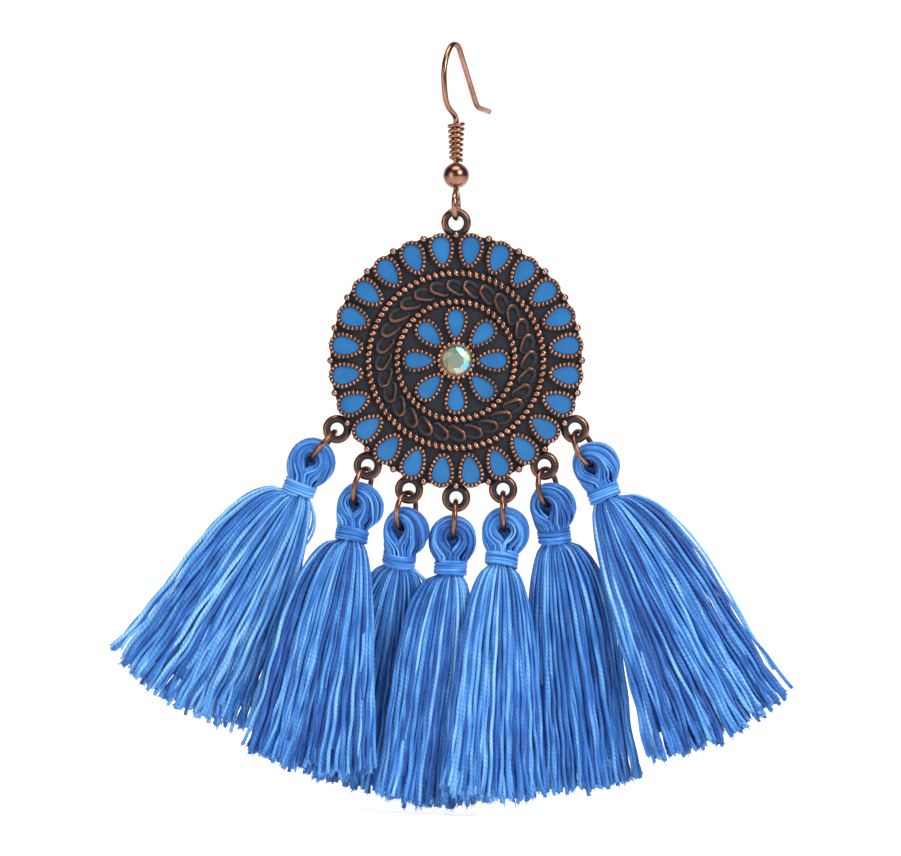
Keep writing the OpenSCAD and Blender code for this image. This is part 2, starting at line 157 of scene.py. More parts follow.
# %% [markdown]
# ## Copies of one small shape
#
# Beads, rope strands and chain links repeat hundreds of times. Each is modelled once, by hand, as a
# seed with a few dozen faces. Its corners are then set down at every place, and all the copies are
# joined into one mesh, which is lighter than hundreds of objects.

# %% Set a seed down at many places
def set_copies(seed, places):
    corners = np.array([v.co for v in seed.data.vertices])
    faces = [tuple(p.vertices) for p in seed.data.polygons]
    points = []
    joined = []
    for place in places:
        turn = np.array(place)
        start = len(points) * len(corners)
        points.append(corners @ turn[:3, :3].T + turn[:3, 3])
        joined.extend(tuple(start + k for k in face) for face in faces)
    mesh = bpy.data.meshes.new("copies")
    mesh.from_pydata((np.concatenate(points) * MM).tolist(), [], joined)
    mesh.shade_smooth()
    piece = bpy.data.objects.new("copies", mesh)
    bpy.context.scene.collection.objects.link(piece)
    bpy.data.objects.remove(seed)
    return piece


def join(pieces):
    select_nothing()
    for piece in pieces:
        piece.select_set(True)
    bpy.context.view_layer.objects.active = pieces[0]
    bpy.ops.object.join()
    return pieces[0]


# %% [markdown]
# ## Camera
#
# The picture is taken from far away, a degree above straight on, so a long lens is right: it keeps
# the round medallion round and the outer tassels unstretched. The earring fills most of the height.

# %% Camera
camera_data = bpy.data.cameras.new("camera")
camera = bpy.data.objects.new("camera", camera_data)
bpy.context.scene.collection.objects.link(camera)
bpy.context.scene.camera = camera
FRAME_W, FRAME_H = 901, 856
VIEW_HEIGHT = 99.0
DISTANCE = 700.0
middle = Vector((-0.5, 0.2, -44.0))
camera_data.sensor_width = 36.0
camera_data.lens = 36.0 * DISTANCE / (VIEW_HEIGHT * FRAME_W / FRAME_H)
camera_data.clip_start = 0.01
camera_data.clip_end = 20
tilt = math.radians(1.0)
away = Vector((0, -math.cos(tilt), math.sin(tilt)))
camera.location = (middle + away * DISTANCE) * MM
camera.rotation_euler = (math.radians(90) - tilt, 0, 0)
print("lens, mm:", round(camera_data.lens, 1))

# %% [markdown]
# ## Small helpers for materials
#
# Every finish starts in the same way: a Principled shader, with the sockets set that are the same all
# over. What changes over a surface comes from small nodes for arithmetic, for the three parts of a
# vector, and for stretching one range of numbers to another.

# %% Start a finish and add small nodes
def new_finish(name, uniform):
    material = bpy.data.materials.new(name)
    material.use_nodes = True
    tree = material.node_tree
    shader = tree.nodes["Principled BSDF"]
    for title, value in uniform.items():
        shader.inputs[title].default_value = value
    return material, tree, shader


def math_node(tree, operation, first, second=None, third=None, clamp=False):
    node = tree.nodes.new("ShaderNodeMath")
    node.operation = operation
    node.use_clamp = clamp
    for socket, value in zip(node.inputs, (first, second, third)):
        if value is None:
            continue
        if isinstance(value, (int, float)):
            socket.default_value = value
        else:
            tree.links.new(value, socket)
    return node.outputs[0]


def split_node(tree, vector):
    node = tree.nodes.new("ShaderNodeSeparateXYZ")
    tree.links.new(vector, node.inputs[0])
    return node.outputs


def map_range(tree, value, low, high, to_low=0.0, to_high=1.0):
    node = tree.nodes.new("ShaderNodeMapRange")
    for title, number in zip(("From Min", "From Max", "To Min", "To Max"), (low, high, to_low, to_high)):
        node.inputs[title].default_value = number
    tree.links.new(value, node.inputs["Value"])
    return node.outputs["Result"]


# %% [markdown]
# ## A plain studio
#
# The product stands against white, with a faint mirror of the tassels' ends below them. A single
# white sheet does both: its floor lies just under the ends and is a little glossy, and its back
# edge is extruded up and rounded by a bevel, so that no line shows behind the earring. Seen from
# its back the sheet is clear, so the earring can be looked at from behind as well.

# %% White sweep
FLOOR_Z = -88.6
select_nothing()
bpy.ops.mesh.primitive_plane_add(size=2, location=(0, 0.0, FLOOR_Z * MM))
sweep = bpy.context.object
sweep.scale = (0.9, 0.62, 1)
bpy.ops.object.transform_apply(location=False, rotation=False, scale=True)
pick(sweep, lambda vertex: vertex.co.y > 0.6)
bpy.ops.mesh.select_mode(type="EDGE")
bpy.ops.mesh.extrude_region_move(TRANSFORM_OT_translate={"value": (0, 0, 1.2)})
bpy.ops.object.mode_set(mode="OBJECT")
apply_modifier(sweep, "BEVEL", width=0.4, segments=16, limit_method="ANGLE")
sweep.data.shade_smooth()
sweep.name = "studio_sweep"
white = {
    "Base Color": (0.93, 0.935, 0.94, 1),
    "Roughness": 0.3,
    "Emission Color": (1, 1, 1, 1),
    "Emission Strength": 0.45,
}
sweep_white, tree, shader = new_finish("sweep_white", white)
clear = tree.nodes.new("ShaderNodeBsdfTransparent")
side = tree.nodes.new("ShaderNodeNewGeometry")
one_sided = tree.nodes.new("ShaderNodeMixShader")
tree.links.new(side.outputs["Backfacing"], one_sided.inputs[0])
tree.links.new(shader.outputs["BSDF"], one_sided.inputs[1])
tree.links.new(clear.outputs["BSDF"], one_sided.inputs[2])
tree.links.new(one_sided.outputs["Shader"], tree.nodes["Material Output"].inputs["Surface"])
sweep.data.materials.append(sweep_white)
print("floor at", FLOOR_Z, "mm")

# %% [markdown]
# ## Light
#
# Enamel, copper and silky thread all show themselves by what they mirror. A white room gives the
# soft base, a large lamp high on the right makes the bright spots on metal and enamel, a second one
# fills from the left, and a strip from above lights the heads of the tassels. The room is darker on
# the camera's side, as behind a photographer, because polished wire needs something dark to mirror.
# Only where the camera looks straight at it is the room as white as the sheet.

# %% Lamps and room
def add_lamp(name, place, aim, size, power, colour=(1, 1, 1)):
    data = bpy.data.lights.new(name, "AREA")
    data.shape = "RECTANGLE"
    data.size, data.size_y = size
    data.energy = power
    data.color = colour
    lamp = bpy.data.objects.new(name, data)
    bpy.context.scene.collection.objects.link(lamp)
    lamp.location = place
    lamp.rotation_euler = (Vector(aim) - Vector(place)).to_track_quat("-Z", "Y").to_euler()
    return lamp


heart = (0, 0, -0.045)
add_lamp("key", (0.34, -0.42, 0.26), heart, (0.22, 0.22), 2.9)
add_lamp("fill", (-0.42, -0.4, 0.05), heart, (0.34, 0.34), 1.0)
add_lamp("top", (0.0, -0.16, 0.42), heart, (0.4, 0.2), 1.4)
world = bpy.data.worlds.new("white_room")
bpy.context.scene.world = world
world.use_nodes = True
room = world.node_tree
toward = split_node(room, room.nodes.new("ShaderNodeTexCoord").outputs["Generated"])
from_front = map_range(room, toward["Y"], -0.98, -0.55, 0.24, 0.78)
seen = room.nodes.new("ShaderNodeLightPath").outputs["Is Camera Ray"]
strength = math_node(room, "MULTIPLY_ADD", seen, 19.0, from_front)
room.links.new(strength, room.nodes["Background"].inputs["Strength"])
bpy.context.scene.view_settings.view_transform = "Standard"
print("view transform:", bpy.context.scene.view_settings.view_transform)

# %% [markdown]
# ## Aged copper, as a shared effect
#
# The metal is plated copper, dipped in a dark oxide and then rubbed, so hollows stay nearly black
# and raised spots shine rose-brown. Several finishes need it: the cast relief, the wires and the
# bead. It is one node group. Its Rub input says how much the oxide is rubbed off, and it puts out a
# colour, a roughness, how metallic it is and a height for fine dents. Two noises break the rubbing
# up, because no hand rubs evenly.

# %% Groups, noise and colour ramps
def new_group(name, inputs, outputs):
    group = bpy.data.node_groups.new(name, "ShaderNodeTree")
    for title, kind, value in inputs:
        socket = group.interface.new_socket(name=title, in_out="INPUT", socket_type=kind)
        if value is not None:
            socket.default_value = value
    for title, kind in outputs:
        group.interface.new_socket(name=title, in_out="OUTPUT", socket_type=kind)
    into = group.nodes.new("NodeGroupInput")
    out = group.nodes.new("NodeGroupOutput")
    return group, into, out


def noise_node(tree, vector, scale, detail=3.0, roughness=0.5):
    node = tree.nodes.new("ShaderNodeTexNoise")
    node.inputs["Scale"].default_value = scale
    node.inputs["Detail"].default_value = detail
    node.inputs["Roughness"].default_value = roughness
    tree.links.new(vector, node.inputs["Vector"])
    return node.outputs["Fac"]


def ramp_node(tree, factor, stops):
    node = tree.nodes.new("ShaderNodeValToRGB")
    elements = node.color_ramp.elements
    while len(elements) < len(stops):
        elements.new(0.5)
    for element, (place, colour) in zip(elements, stops):
        element.position = place
        element.color = (*colour, 1)
    tree.links.new(factor, node.inputs["Fac"])
    return node.outputs["Color"]


# %% The aged copper group
def linear(*srgb):
    return tuple((c / 255 / 12.92) if c <= 10 else ((c / 255 + 0.055) / 1.055) ** 2.4 for c in srgb)


aged, into, out = new_group(
    "aged_copper",
    [("Vector", "NodeSocketVector", None), ("Rub", "NodeSocketFloat", 0.5)],
    [
        ("Color", "NodeSocketColor"),
        ("Roughness", "NodeSocketFloat"),
        ("Metallic", "NodeSocketFloat"),
        ("Height", "NodeSocketFloat"),
    ],
)
place = into.outputs["Vector"]
cloud = noise_node(aged, place, 420, 4.0, 0.6)
grain = noise_node(aged, place, 2600, 3.0, 0.55)
uneven = math_node(aged, "MULTIPLY_ADD", cloud, 0.5, -0.25)
rubbed = math_node(aged, "ADD", into.outputs["Rub"], uneven)
rubbed = math_node(aged, "ADD", rubbed, math_node(aged, "MULTIPLY_ADD", grain, 0.22, -0.11), clamp=True)
colour = ramp_node(
    aged,
    rubbed,
    [
        (0.0, linear(29, 34, 43)),
        (0.28, linear(49, 47, 51)),
        (0.5, linear(100, 68, 55)),
        (0.72, linear(160, 110, 88)),
        (1.0, linear(216, 166, 140)),
    ],
)
aged.links.new(colour, out.inputs["Color"])
aged.links.new(map_range(aged, rubbed, 0.1, 0.8, 0.6, 0.2), out.inputs["Roughness"])
aged.links.new(map_range(aged, rubbed, 0.15, 0.6, 0.35, 1.0), out.inputs["Metallic"])
height = math_node(aged, "MULTIPLY_ADD", cloud, 0.6, math_node(aged, "MULTIPLY", grain, 0.4))
aged.links.new(height, out.inputs["Height"])
print("group:", aged.name)

# %% [markdown]
# ## Metal finishes
#
# A finish is a Principled shader fed by the group. On the medallion the rub follows the relief: the
# plate lies in the plane of X and Z, so the distance forward along Y says how far a spot stands out
# of the ground, and only the tops of beads and ropes are bright. Beyond the rim, where the loops are,
# the rub grows with the distance from the nearest loop's middle, so each loop has painted shade
# inside and a painted highlight on its outer edge. The chain's links go from dark to bright by height
# as well. Wires are rubbed evenly, and the ear wire and the bead, which are handled most, have a
# little lacquer as a clear coat.

# %% Copper finishes
def add_bump(tree, shader, height, strength, distance):
    bump = tree.nodes.new("ShaderNodeBump")
    bump.inputs["Strength"].default_value = strength
    bump.inputs["Distance"].default_value = distance
    tree.links.new(height, bump.inputs["Height"])
    tree.links.new(bump.outputs["Normal"], shader.inputs["Normal"])


def copper_material(name, rub, dents=0.00002):
    """rub is a number from 0 to 1, or a function that makes the nodes that work it out."""
    material, tree, shader = new_finish(name, {})
    place = tree.nodes.new("ShaderNodeTexCoord").outputs["Object"]
    group = tree.nodes.new("ShaderNodeGroup")
    group.node_tree = aged
    tree.links.new(place, group.inputs["Vector"])
    if callable(rub):
        tree.links.new(rub(tree, place), group.inputs["Rub"])
    else:
        group.inputs["Rub"].default_value = rub
    for title, socket in (("Color", "Base Color"), ("Roughness", "Roughness"), ("Metallic", "Metallic")):
        tree.links.new(group.outputs[title], shader.inputs[socket])
    add_bump(tree, shader, group.outputs["Height"], 0.6, dents)
    return material


def distance_node(tree, across, up):
    square = math_node(tree, "MULTIPLY_ADD", across, across, math_node(tree, "MULTIPLY", up, up))
    return math_node(tree, "SQRT", square)


# %% Rub by height and round the loops
def relief_rub_and_loop_shading(tree, place):
    """Two ramps of height on the front, one on the back, and rings round the loops' middles that paint
    shade inside each loop and a highlight on its outer edge.
    """
    parts = split_node(tree, place)
    x = math_node(tree, "SUBTRACT", parts["X"], STEM.x * MM)
    z = math_node(tree, "SUBTRACT", parts["Z"], PLATE_Z * MM)
    from_middle = distance_node(tree, x, z)
    front_y = (STEM.y - GROUND) * MM
    low = map_range(tree, parts["Y"], front_y, front_y - 0.5 * MM, 0.0, 0.3)
    high = map_range(tree, parts["Y"], front_y - 0.46 * MM, front_y - 0.66 * MM, 0.0, 0.48)
    front = math_node(tree, "ADD", low, high)
    back = map_range(tree, parts["Y"], (STEM.y + 0.45) * MM, (STEM.y + 0.62) * MM, 0.0, 0.42)
    relief = math_node(tree, "MAXIMUM", front, back)
    beyond = map_range(tree, from_middle, (PLATE_R + 0.2) * MM, (PLATE_R + 0.45) * MM, 0.0, 1.0)
    angle = math_node(tree, "ARCTAN2", x, math_node(tree, "MULTIPLY", z, -1.0))
    step = math.radians(LOOP_STEP)
    nearest = math_node(tree, "ROUND", math_node(tree, "DIVIDE", angle, step))
    nearest = math_node(tree, "MINIMUM", math_node(tree, "MAXIMUM", nearest, -3.0), 3.0)
    upper = math_node(tree, "GREATER_THAN", z, 0.0)
    aim = math_node(tree, "MULTIPLY_ADD", upper, math.pi, math_node(tree, "MULTIPLY", nearest, step))
    aim = math_node(tree, "MULTIPLY_ADD", upper, math_node(tree, "MULTIPLY", nearest, -step), aim)
    across = math_node(tree, "MULTIPLY_ADD", math_node(tree, "SINE", aim), -LOOP_REACH * MM, x)
    down = math_node(tree, "MULTIPLY_ADD", math_node(tree, "COSINE", aim), LOOP_REACH * MM, z)
    from_loop = distance_node(tree, across, down)
    # Round each loop the rub is painted light: painted shade inside the loop, a painted highlight on its
    # outer edge.
    outward = map_range(tree, from_loop, 0.95 * MM, 1.5 * MM, 0.12, 0.66)
    return math_node(tree, "MAXIMUM", relief, math_node(tree, "MULTIPLY", beyond, outward))


def chain_rub(tree, place):
    top_y = STEM.y - GROUND - CHAIN_H
    return map_range(tree, split_node(tree, place)["Y"], (top_y + 0.45) * MM, top_y * MM, 0.12, 0.56)


relief_copper = copper_material("relief_copper", relief_rub_and_loop_shading)
chain_copper = copper_material("chain_copper", chain_rub)
ear_copper = copper_material("ear_copper", 0.7, 0.000008)
bead_copper = copper_material("bead_copper", 0.68, 0.000008)
ring_copper = copper_material("ring_copper", 0.62, 0.000012)
coil_copper = copper_material("coil_copper", 0.72, 0.000012)
for lacquered in (ear_copper, bead_copper):
    shader = lacquered.node_tree.nodes["Principled BSDF"]
    shader.inputs["Coat Weight"].default_value = 0.4
    shader.inputs["Coat Roughness"].default_value = 0.12
print("copper finishes:", 6)

# %% [markdown]
# ## The ear wire
#
# An ear wire is one length of round wire bent over a few pins. It is made the same way here: a
# circle is the wire's cut end, spun round each bend's centre and extruded along each straight, down
# the back to its tip and down the front to the stem. A bend is its radius, its turn in degrees and
# the straight after it, as shares of the hook's height. The eye below is a closed ring of the same
# wire.

# %% Bend the ear wire
FRONT_BENDS = [(0.185, 45, 0), (0.51, 45, 0), (1.02, 15, 0), (0.275, 45, 0.11), (0.11, -60, 0)]
BACK_BENDS = [(0.145, 58, 0.77), (0.18, -50, 0.23)]


def bend_wire(bends, side, end_z=None):
    """A run of wire in the plane of X and Z from the hook's seat, to +X or -X as side is 1 or -1."""
    select_nothing()
    bpy.ops.mesh.primitive_circle_add(
        vertices=16, radius=WIRE_R * MM, location=(0, 0, WIRE_R * MM), rotation=(0, math.radians(90), 0)
    )
    wire = bpy.context.object
    bpy.ops.object.transform_apply(location=True, rotation=True, scale=True)
    bpy.ops.object.mode_set(mode="EDIT")
    bpy.ops.mesh.select_all(action="SELECT")
    at = Vector((0, 0, WIRE_R))
    heading = 0.0
    for share, turn, straight in bends:
        radius = share * HOOK_H
        inward = Vector((-math.sin(heading) * side, 0, -math.cos(heading))) * math.copysign(1, turn)
        centre = at + inward * radius
        angle = math.radians(turn) * side
        steps = max(3, round(abs(turn) / 7))
        bpy.ops.mesh.spin(steps=steps, angle=-angle, center=centre * MM, axis=(0, 1, 0))
        at = centre + Matrix.Rotation(angle, 3, "Y") @ (at - centre)
        heading += math.radians(turn)
        along = Vector((math.cos(heading) * side, 0, -math.sin(heading)))
        if straight:
            run = along * straight * HOOK_H
            bpy.ops.mesh.extrude_region_move(TRANSFORM_OT_translate={"value": run * MM})
            at += run
    if end_z is not None:
        bpy.ops.mesh.extrude_region_move(TRANSFORM_OT_translate={"value": (0, 0, (end_z - at.z) * MM)})
        at.z = end_z
    else:
        bpy.ops.mesh.extrude_region_move(TRANSFORM_OT_translate={"value": along * 0.12 * MM})
        bpy.ops.transform.resize(value=(0.72, 0.72, 0.72))
        bpy.ops.mesh.edge_face_add()
    bpy.ops.object.mode_set(mode="OBJECT")
    ends = np.array([v.co for v in wire.data.vertices])[-16:].mean(0) / MM
    print("run ends at", [round(float(v), 2) for v in ends], "planned", [round(v, 2) for v in at])
    return wire


back_run = bend_wire(BACK_BENDS, 1)
front_run = bend_wire(FRONT_BENDS, -1, EYE_Z + EYE_R)
ear_wire = join([back_run, front_run])
bpy.ops.object.mode_set(mode="EDIT")
bpy.ops.mesh.select_all(action="SELECT")
bpy.ops.mesh.remove_doubles(threshold=0.000001)
bpy.ops.mesh.normals_make_consistent(inside=False)
bpy.ops.object.mode_set(mode="OBJECT")
ear_wire.data.transform(Matrix.Rotation(math.radians(90 - HOOK_TURN), 4, "Z"))
ear_wire.data.shade_smooth()
select_nothing()
bpy.ops.mesh.primitive_torus_add(
    major_segments=64, minor_segments=16, major_radius=EYE_R * MM, minor_radius=WIRE_R * MM
)
eye = bpy.context.object
eye.data.shade_smooth()
eye.data.transform(
    Matrix.Translation((STEM.x * MM, STEM.y * MM, EYE_Z * MM))
    @ Matrix.Rotation(math.radians(-EYE_TURN), 4, "Z")
    @ Matrix.Rotation(math.radians(90), 4, "Y")
)
ear_wire = join([ear_wire, eye])
settle(ear_wire, "ear_wire", ear_copper, "hook", ["ear_hook"])

# %% [markdown]
# ## Coil and bead
#
# The coil is thin wire wound on the stem: a circle of wire set beside the axis and wound up by the
# Screw modifier. Its upper turns have sprung open a little, so they are widened towards the top. The
# bead is a ball with a hole: a sphere whose poles are cut away, and the two rims are drawn in to
# make the hole's lip.

# %% Wind the coil
select_nothing()
SPRUNG = 0.24
coil_r = WIRE_R + SET_GAP + COIL_WIRE_R + 0.01
bpy.ops.mesh.primitive_circle_add(
    vertices=12, radius=COIL_WIRE_R * MM, location=(coil_r * MM, 0, 0), rotation=(math.radians(90), 0, 0)
)
coil = bpy.context.object
bpy.ops.object.transform_apply(location=True, rotation=True, scale=True)
apply_modifier(
    coil,
    "SCREW",
    angle=math.radians(360 * COIL_TURNS),
    screw_offset=COIL_PITCH * COIL_TURNS * MM,
    steps=24 * COIL_TURNS,
    render_steps=24 * COIL_TURNS,
    use_normal_calculate=True,
)
take(coil)
bpy.ops.object.mode_set(mode="EDIT")
bpy.ops.mesh.select_all(action="SELECT")
bpy.ops.mesh.fill_holes(sides=12)
bpy.ops.mesh.select_all(action="SELECT")
bpy.ops.mesh.normals_make_consistent(inside=False)
bpy.ops.object.mode_set(mode="OBJECT")
for vertex in coil.data.vertices:
    outward = vertex.co.xy.length
    up = vertex.co.z / (COIL_PITCH * COIL_TURNS * MM)
    if outward > 0:
        vertex.co.xy *= 1 + SPRUNG * MM * max(0.0, up) ** 1.5 / outward
coil.data.shade_smooth()
coil.location = (STEM.x * MM, STEM.y * MM, (COIL_LOW_Z + COIL_WIRE_R) * MM)
settle(coil, "wire_coil", coil_copper, "hook", ["hook_coil"])

# %% Drill the bead
select_nothing()
bpy.ops.mesh.primitive_uv_sphere_add(segments=40, ring_count=28, radius=BEAD_R * MM)
bead = bpy.context.object
pick(bead, lambda vertex: abs(vertex.co.z) > 1.43 * MM)
bpy.ops.mesh.delete(type="VERT")
bpy.ops.mesh.select_non_manifold()
bpy.ops.mesh.extrude_region_move()
bpy.ops.transform.resize(value=(0.86, 0.86, 0.97))
bpy.ops.mesh.extrude_region_move()
bpy.ops.transform.resize(value=(0.95, 0.95, 0.6))
bpy.ops.object.mode_set(mode="OBJECT")
bead.data.shade_smooth()
bead.location = (STEM.x * MM, STEM.y * MM, BEAD_Z * MM)
settle(bead, "wire_bead", bead_copper, "hook", ["hook_bead"])

# %% [markdown]
# ## Beaded borders
#
# Each enamel field has a border of tiny beads, struck with a beading tool. One bead is a small ball
# with its lower part cut off by bisect, because that part sinks in the wall. The beads are then set
# at even steps along the field's outline, each drawn out across it, like the stroke of the tool. The
# outline is an egg of four arcs: a wide end, a narrow end, and two large arcs for the bulging sides,
# which touch both ends from outside. Larger granules sit on the rim between the cells, and a round
# of small beads stands about the stone.

# %% The outline of an egg and even steps along it
def arc(centre, radius, start, end, steps):
    angles = np.linspace(start, end, steps + 1)[:-1]
    return [Vector((centre[0] + radius * math.cos(a), centre[1] + radius * math.sin(a))) for a in angles]


def egg_outline(length, wide, narrow, side, grow):
    apart = length - wide - narrow
    v = ((side - narrow) ** 2 - (side - wide) ** 2 - apart**2) / (2 * apart)
    u = math.sqrt((side - wide) ** 2 - v**2)
    high = math.atan2(-v, u)
    low = math.atan2(-apart - v, u)
    return (
        arc((0, 0), wide + grow, high, math.pi - high, 40)
        + arc((u, v), side + grow, math.pi - high, math.pi - low, 20)
        + arc((0, -apart), narrow + grow, math.pi - low, 2 * math.pi + low, 20)
        + arc((-u, v), side + grow, low, high, 20)
    )


def even_steps(line, count, offset=0.0):
    closed = line + [line[0]]
    lengths = [0.0]
    for a, b in zip(closed, closed[1:]):
        lengths.append(lengths[-1] + (b - a).length)
    marks = [(k + offset) / count * lengths[-1] for k in range(count)]
    xs = np.interp(marks, lengths, [p.x for p in closed])
    ys = np.interp(marks, lengths, [p.y for p in closed])
    return [Vector((float(x), float(y))) for x, y in zip(xs, ys)]


def bead_seed(cut=-0.35):
    """A ball of radius 1 with its lower part cut off."""
    select_nothing()
    bpy.ops.mesh.primitive_uv_sphere_add(segments=9, ring_count=7, radius=1)
    seed = bpy.context.object
    bpy.ops.object.mode_set(mode="EDIT")
    bpy.ops.mesh.select_all(action="SELECT")
    bpy.ops.mesh.bisect(plane_co=(0, 0, cut), plane_no=(0, 0, 1), use_fill=True, clear_inner=True)
    bpy.ops.object.mode_set(mode="OBJECT")
    return seed


def ball_at(across, up, height, radius, flat=0.85):
    size = Matrix.Diagonal((radius, radius, radius * flat, 1))
    return PLATE @ Matrix.Translation((across, up, height)) @ size


def border_strokes(line, count, angles, reach, size, rng):
    """Places of the beads round a field, for a copy of the field at each angle about the plate."""
    marks = even_steps(line, count, 0.25)
    ahead = even_steps(line, count, 0.35)
    places = []
    for angle in angles:
        field = PLATE @ turned("Z", angle) @ Matrix.Translation((0, reach, WALL_TOP))
        for mark, after in zip(marks, ahead):
            course = math.atan2(after.y - mark.y, after.x - mark.x)
            stroke = Matrix.Translation((mark.x, mark.y, 0)) @ Matrix.Rotation(course, 4, "Z")
            uneven = [s * rng.uniform(0.92, 1.07) for s in size]
            places.append(field @ stroke @ Matrix.Diagonal((*uneven, 1)))
    return places


# %% Beads round the rim cells and the granules between them
CELLS = 24
CELL_L = 3.25
CELL_REACH = 13.32
GRANULE_REACH = 14.5
rng = np.random.default_rng(11)
cell_line = egg_outline(CELL_L, 1.1, 0.45, CELL_L * 1.05, 0.21)
cell_angles = [360 / CELLS * (cell + 0.5) for cell in range(CELLS)]
cell_strokes = border_strokes(cell_line, 20, cell_angles, CELL_REACH, (0.18, 0.27, 0.21), rng)
rim_beads = set_copies(bead_seed(), cell_strokes)
places = []
for k in range(CELLS):
    x, y, _ = turned("Z", 360 / CELLS * k) @ Vector((0, GRANULE_REACH, 0))
    places.append(ball_at(x, y, GROUND + 0.3, 0.43 * rng.uniform(0.96, 1.03), 1.0))
granules = set_copies(bead_seed(-0.75), places)
settle(join([rim_beads, granules]), "rim_beading", relief_copper, "drop")

# %% Beads round the petals and the stone
PETALS = 8
PETAL_L = 3.3
PETAL_REACH = 4.9
STONE_BEADS = 22
STONE_BEADS_R = 2.02
petal_line = egg_outline(PETAL_L, 1.0, 0.28, PETAL_L * 1.15, 0.18)
petal_angles = [360 / PETALS * petal for petal in range(PETALS)]
places = border_strokes(petal_line, 18, petal_angles, PETAL_REACH, (0.165, 0.24, 0.2), rng)
middle_at = PLATE.translation
places = [place for place in places if (place.translation - middle_at).length > STONE_BEADS_R + 0.43]
for k in range(STONE_BEADS):
    a = math.radians(360 / STONE_BEADS * k)
    x, y = STONE_BEADS_R * math.cos(a), STONE_BEADS_R * math.sin(a)
    places.append(ball_at(x, y, WALL_TOP + 0.02, 0.23))
settle(set_copies(bead_seed(), places), "flower_beading", relief_copper, "drop")

# %% [markdown]
# ## The stone's lip
#
# A stone is held by a thin rim of metal that is pressed over its edge and gets polished in the
# pressing. The rim starts as a torus, and its foot is widened and drawn down to the setting.

# %% The bright lip round the stone
LIP_R = 1.77
select_nothing()
bpy.ops.mesh.primitive_torus_add(
    major_segments=48, minor_segments=8, major_radius=LIP_R, minor_radius=0.075
)
lip = bpy.context.object
pick(lip, lambda vertex: vertex.co.z < -0.02)
bpy.ops.transform.resize(value=(1.03, 1.03, 1.6))
bpy.ops.object.mode_set(mode="OBJECT")
lip.data.shade_smooth()
lip.data.transform(Matrix.Scale(MM, 4) @ PLATE @ Matrix.Translation((0, 0, WALL_TOP + 0.03)))
settle(lip, "setting_lip", ear_copper, "drop")

# %% [markdown]
# ## Rope rings
#
# Two rings look like twisted wire laid down in a circle. The strand of a twist shows as a row of
# slanted grains, so one grain is a ball drawn out into an oval, turned off the ring's radius by the
# twist, and copied round. 80 fit the outer ring and 54 the inner one.

# %% Grains of the rope rings
def rope_places(count, radius, slant, grain):
    places = []
    for k in range(count):
        turn = Matrix.Rotation(-2 * math.pi * k / count, 4, "Z")
        on_ring = Matrix.Translation((0, radius, GROUND + 0.26))
        places.append(PLATE @ turn @ on_ring @ turned("Z", slant) @ Matrix.Diagonal((*grain, 1)))
    return places


TWIST = 34
outer_places = rope_places(80, 10.1, TWIST, (0.35, 0.56, 0.43))
inner_places = rope_places(54, 6.8, TWIST, (0.35, 0.54, 0.43))
outer_rope = set_copies(bead_seed(-0.8), outer_places)
inner_rope = set_copies(bead_seed(-0.8), inner_places)
settle(join([outer_rope, inner_rope]), "rope_rings", relief_copper, "drop")

# %% [markdown]
# ## Chain ring
#
# Between the ropes runs a curb chain: oval links that each lean on the next one. A link is a torus,
# drawn out along one axis and turned off the line of the ring, so that one end lies over the next
# link and the other end under the last. It is also tipped, so that its inner side stands up as a
# bright hooked stroke, and its outer side sinks into the flat links of the casting.

# %% Links of the chain ring
LINKS = 28
LINK_STRETCH = 0.5
CHAIN_R = 8.42
select_nothing()
bpy.ops.mesh.primitive_torus_add(major_segments=20, minor_segments=8, major_radius=0.64, minor_radius=0.2)
link = bpy.context.object
for vertex in link.data.vertices:
    if abs(vertex.co.x) > 0.05:
        vertex.co.x += math.copysign(LINK_STRETCH, vertex.co.x)
lean = turned("Z", -32) @ turned("Y", 9)
tip = turned("X", -22)
places = []
for k in range(LINKS):
    turn = Matrix.Rotation(2 * math.pi * k / LINKS, 4, "Z")
    places.append(PLATE @ turn @ Matrix.Translation((0, CHAIN_R, GROUND + 0.17)) @ lean @ tip)
settle(set_copies(link, places), "chain_ring", chain_copper, "drop")

# %% [markdown]
# ## The casting
#
# The plate, its loops, the walls of the fields and the stone's setting are all in the solid at their
# true size, so a second casting would add nothing. The solid only takes the relief's copper, whose
# ramps of height find its edges by themselves.

# %% The cast medallion keeps its solid
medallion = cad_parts["medallion"]
medallion.data.materials.clear()
medallion.data.materials.append(relief_copper)
print("medallion:", len(medallion.data.polygons), "faces")

# %% [markdown]
# ## Enamel
#
# The fields are filled with opaque blue enamel that sets a little below its beaded walls, with a
# glassy skin. The solids are right, so only the finish is made: an even blue, a touch cloudy, under
# a clear coat, with slow waves in it from the firing.

# %% Blue enamel
def enamel_material():
    glassy = {"Roughness": 0.32, "Coat Weight": 0.6, "Coat Roughness": 0.08}
    material, tree, shader = new_finish("blue_enamel", glassy)
    place = tree.nodes.new("ShaderNodeTexCoord").outputs["Object"]
    cloud = noise_node(tree, place, 350, 3.0)
    colour = ramp_node(tree, cloud, [(0.3, linear(32, 100, 157)), (0.7, linear(42, 113, 173))])
    tree.links.new(colour, shader.inputs["Base Color"])
    add_bump(tree, shader, noise_node(tree, place, 700, 2.0), 0.35, 0.00004)
    return material


blue_enamel = enamel_material()
for name in ("enamel_rim", "enamel_flower"):
    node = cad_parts[name]
    node.data.materials.clear()
    node.data.materials.append(blue_enamel)
print("enamel fields:", CELLS + PETALS)
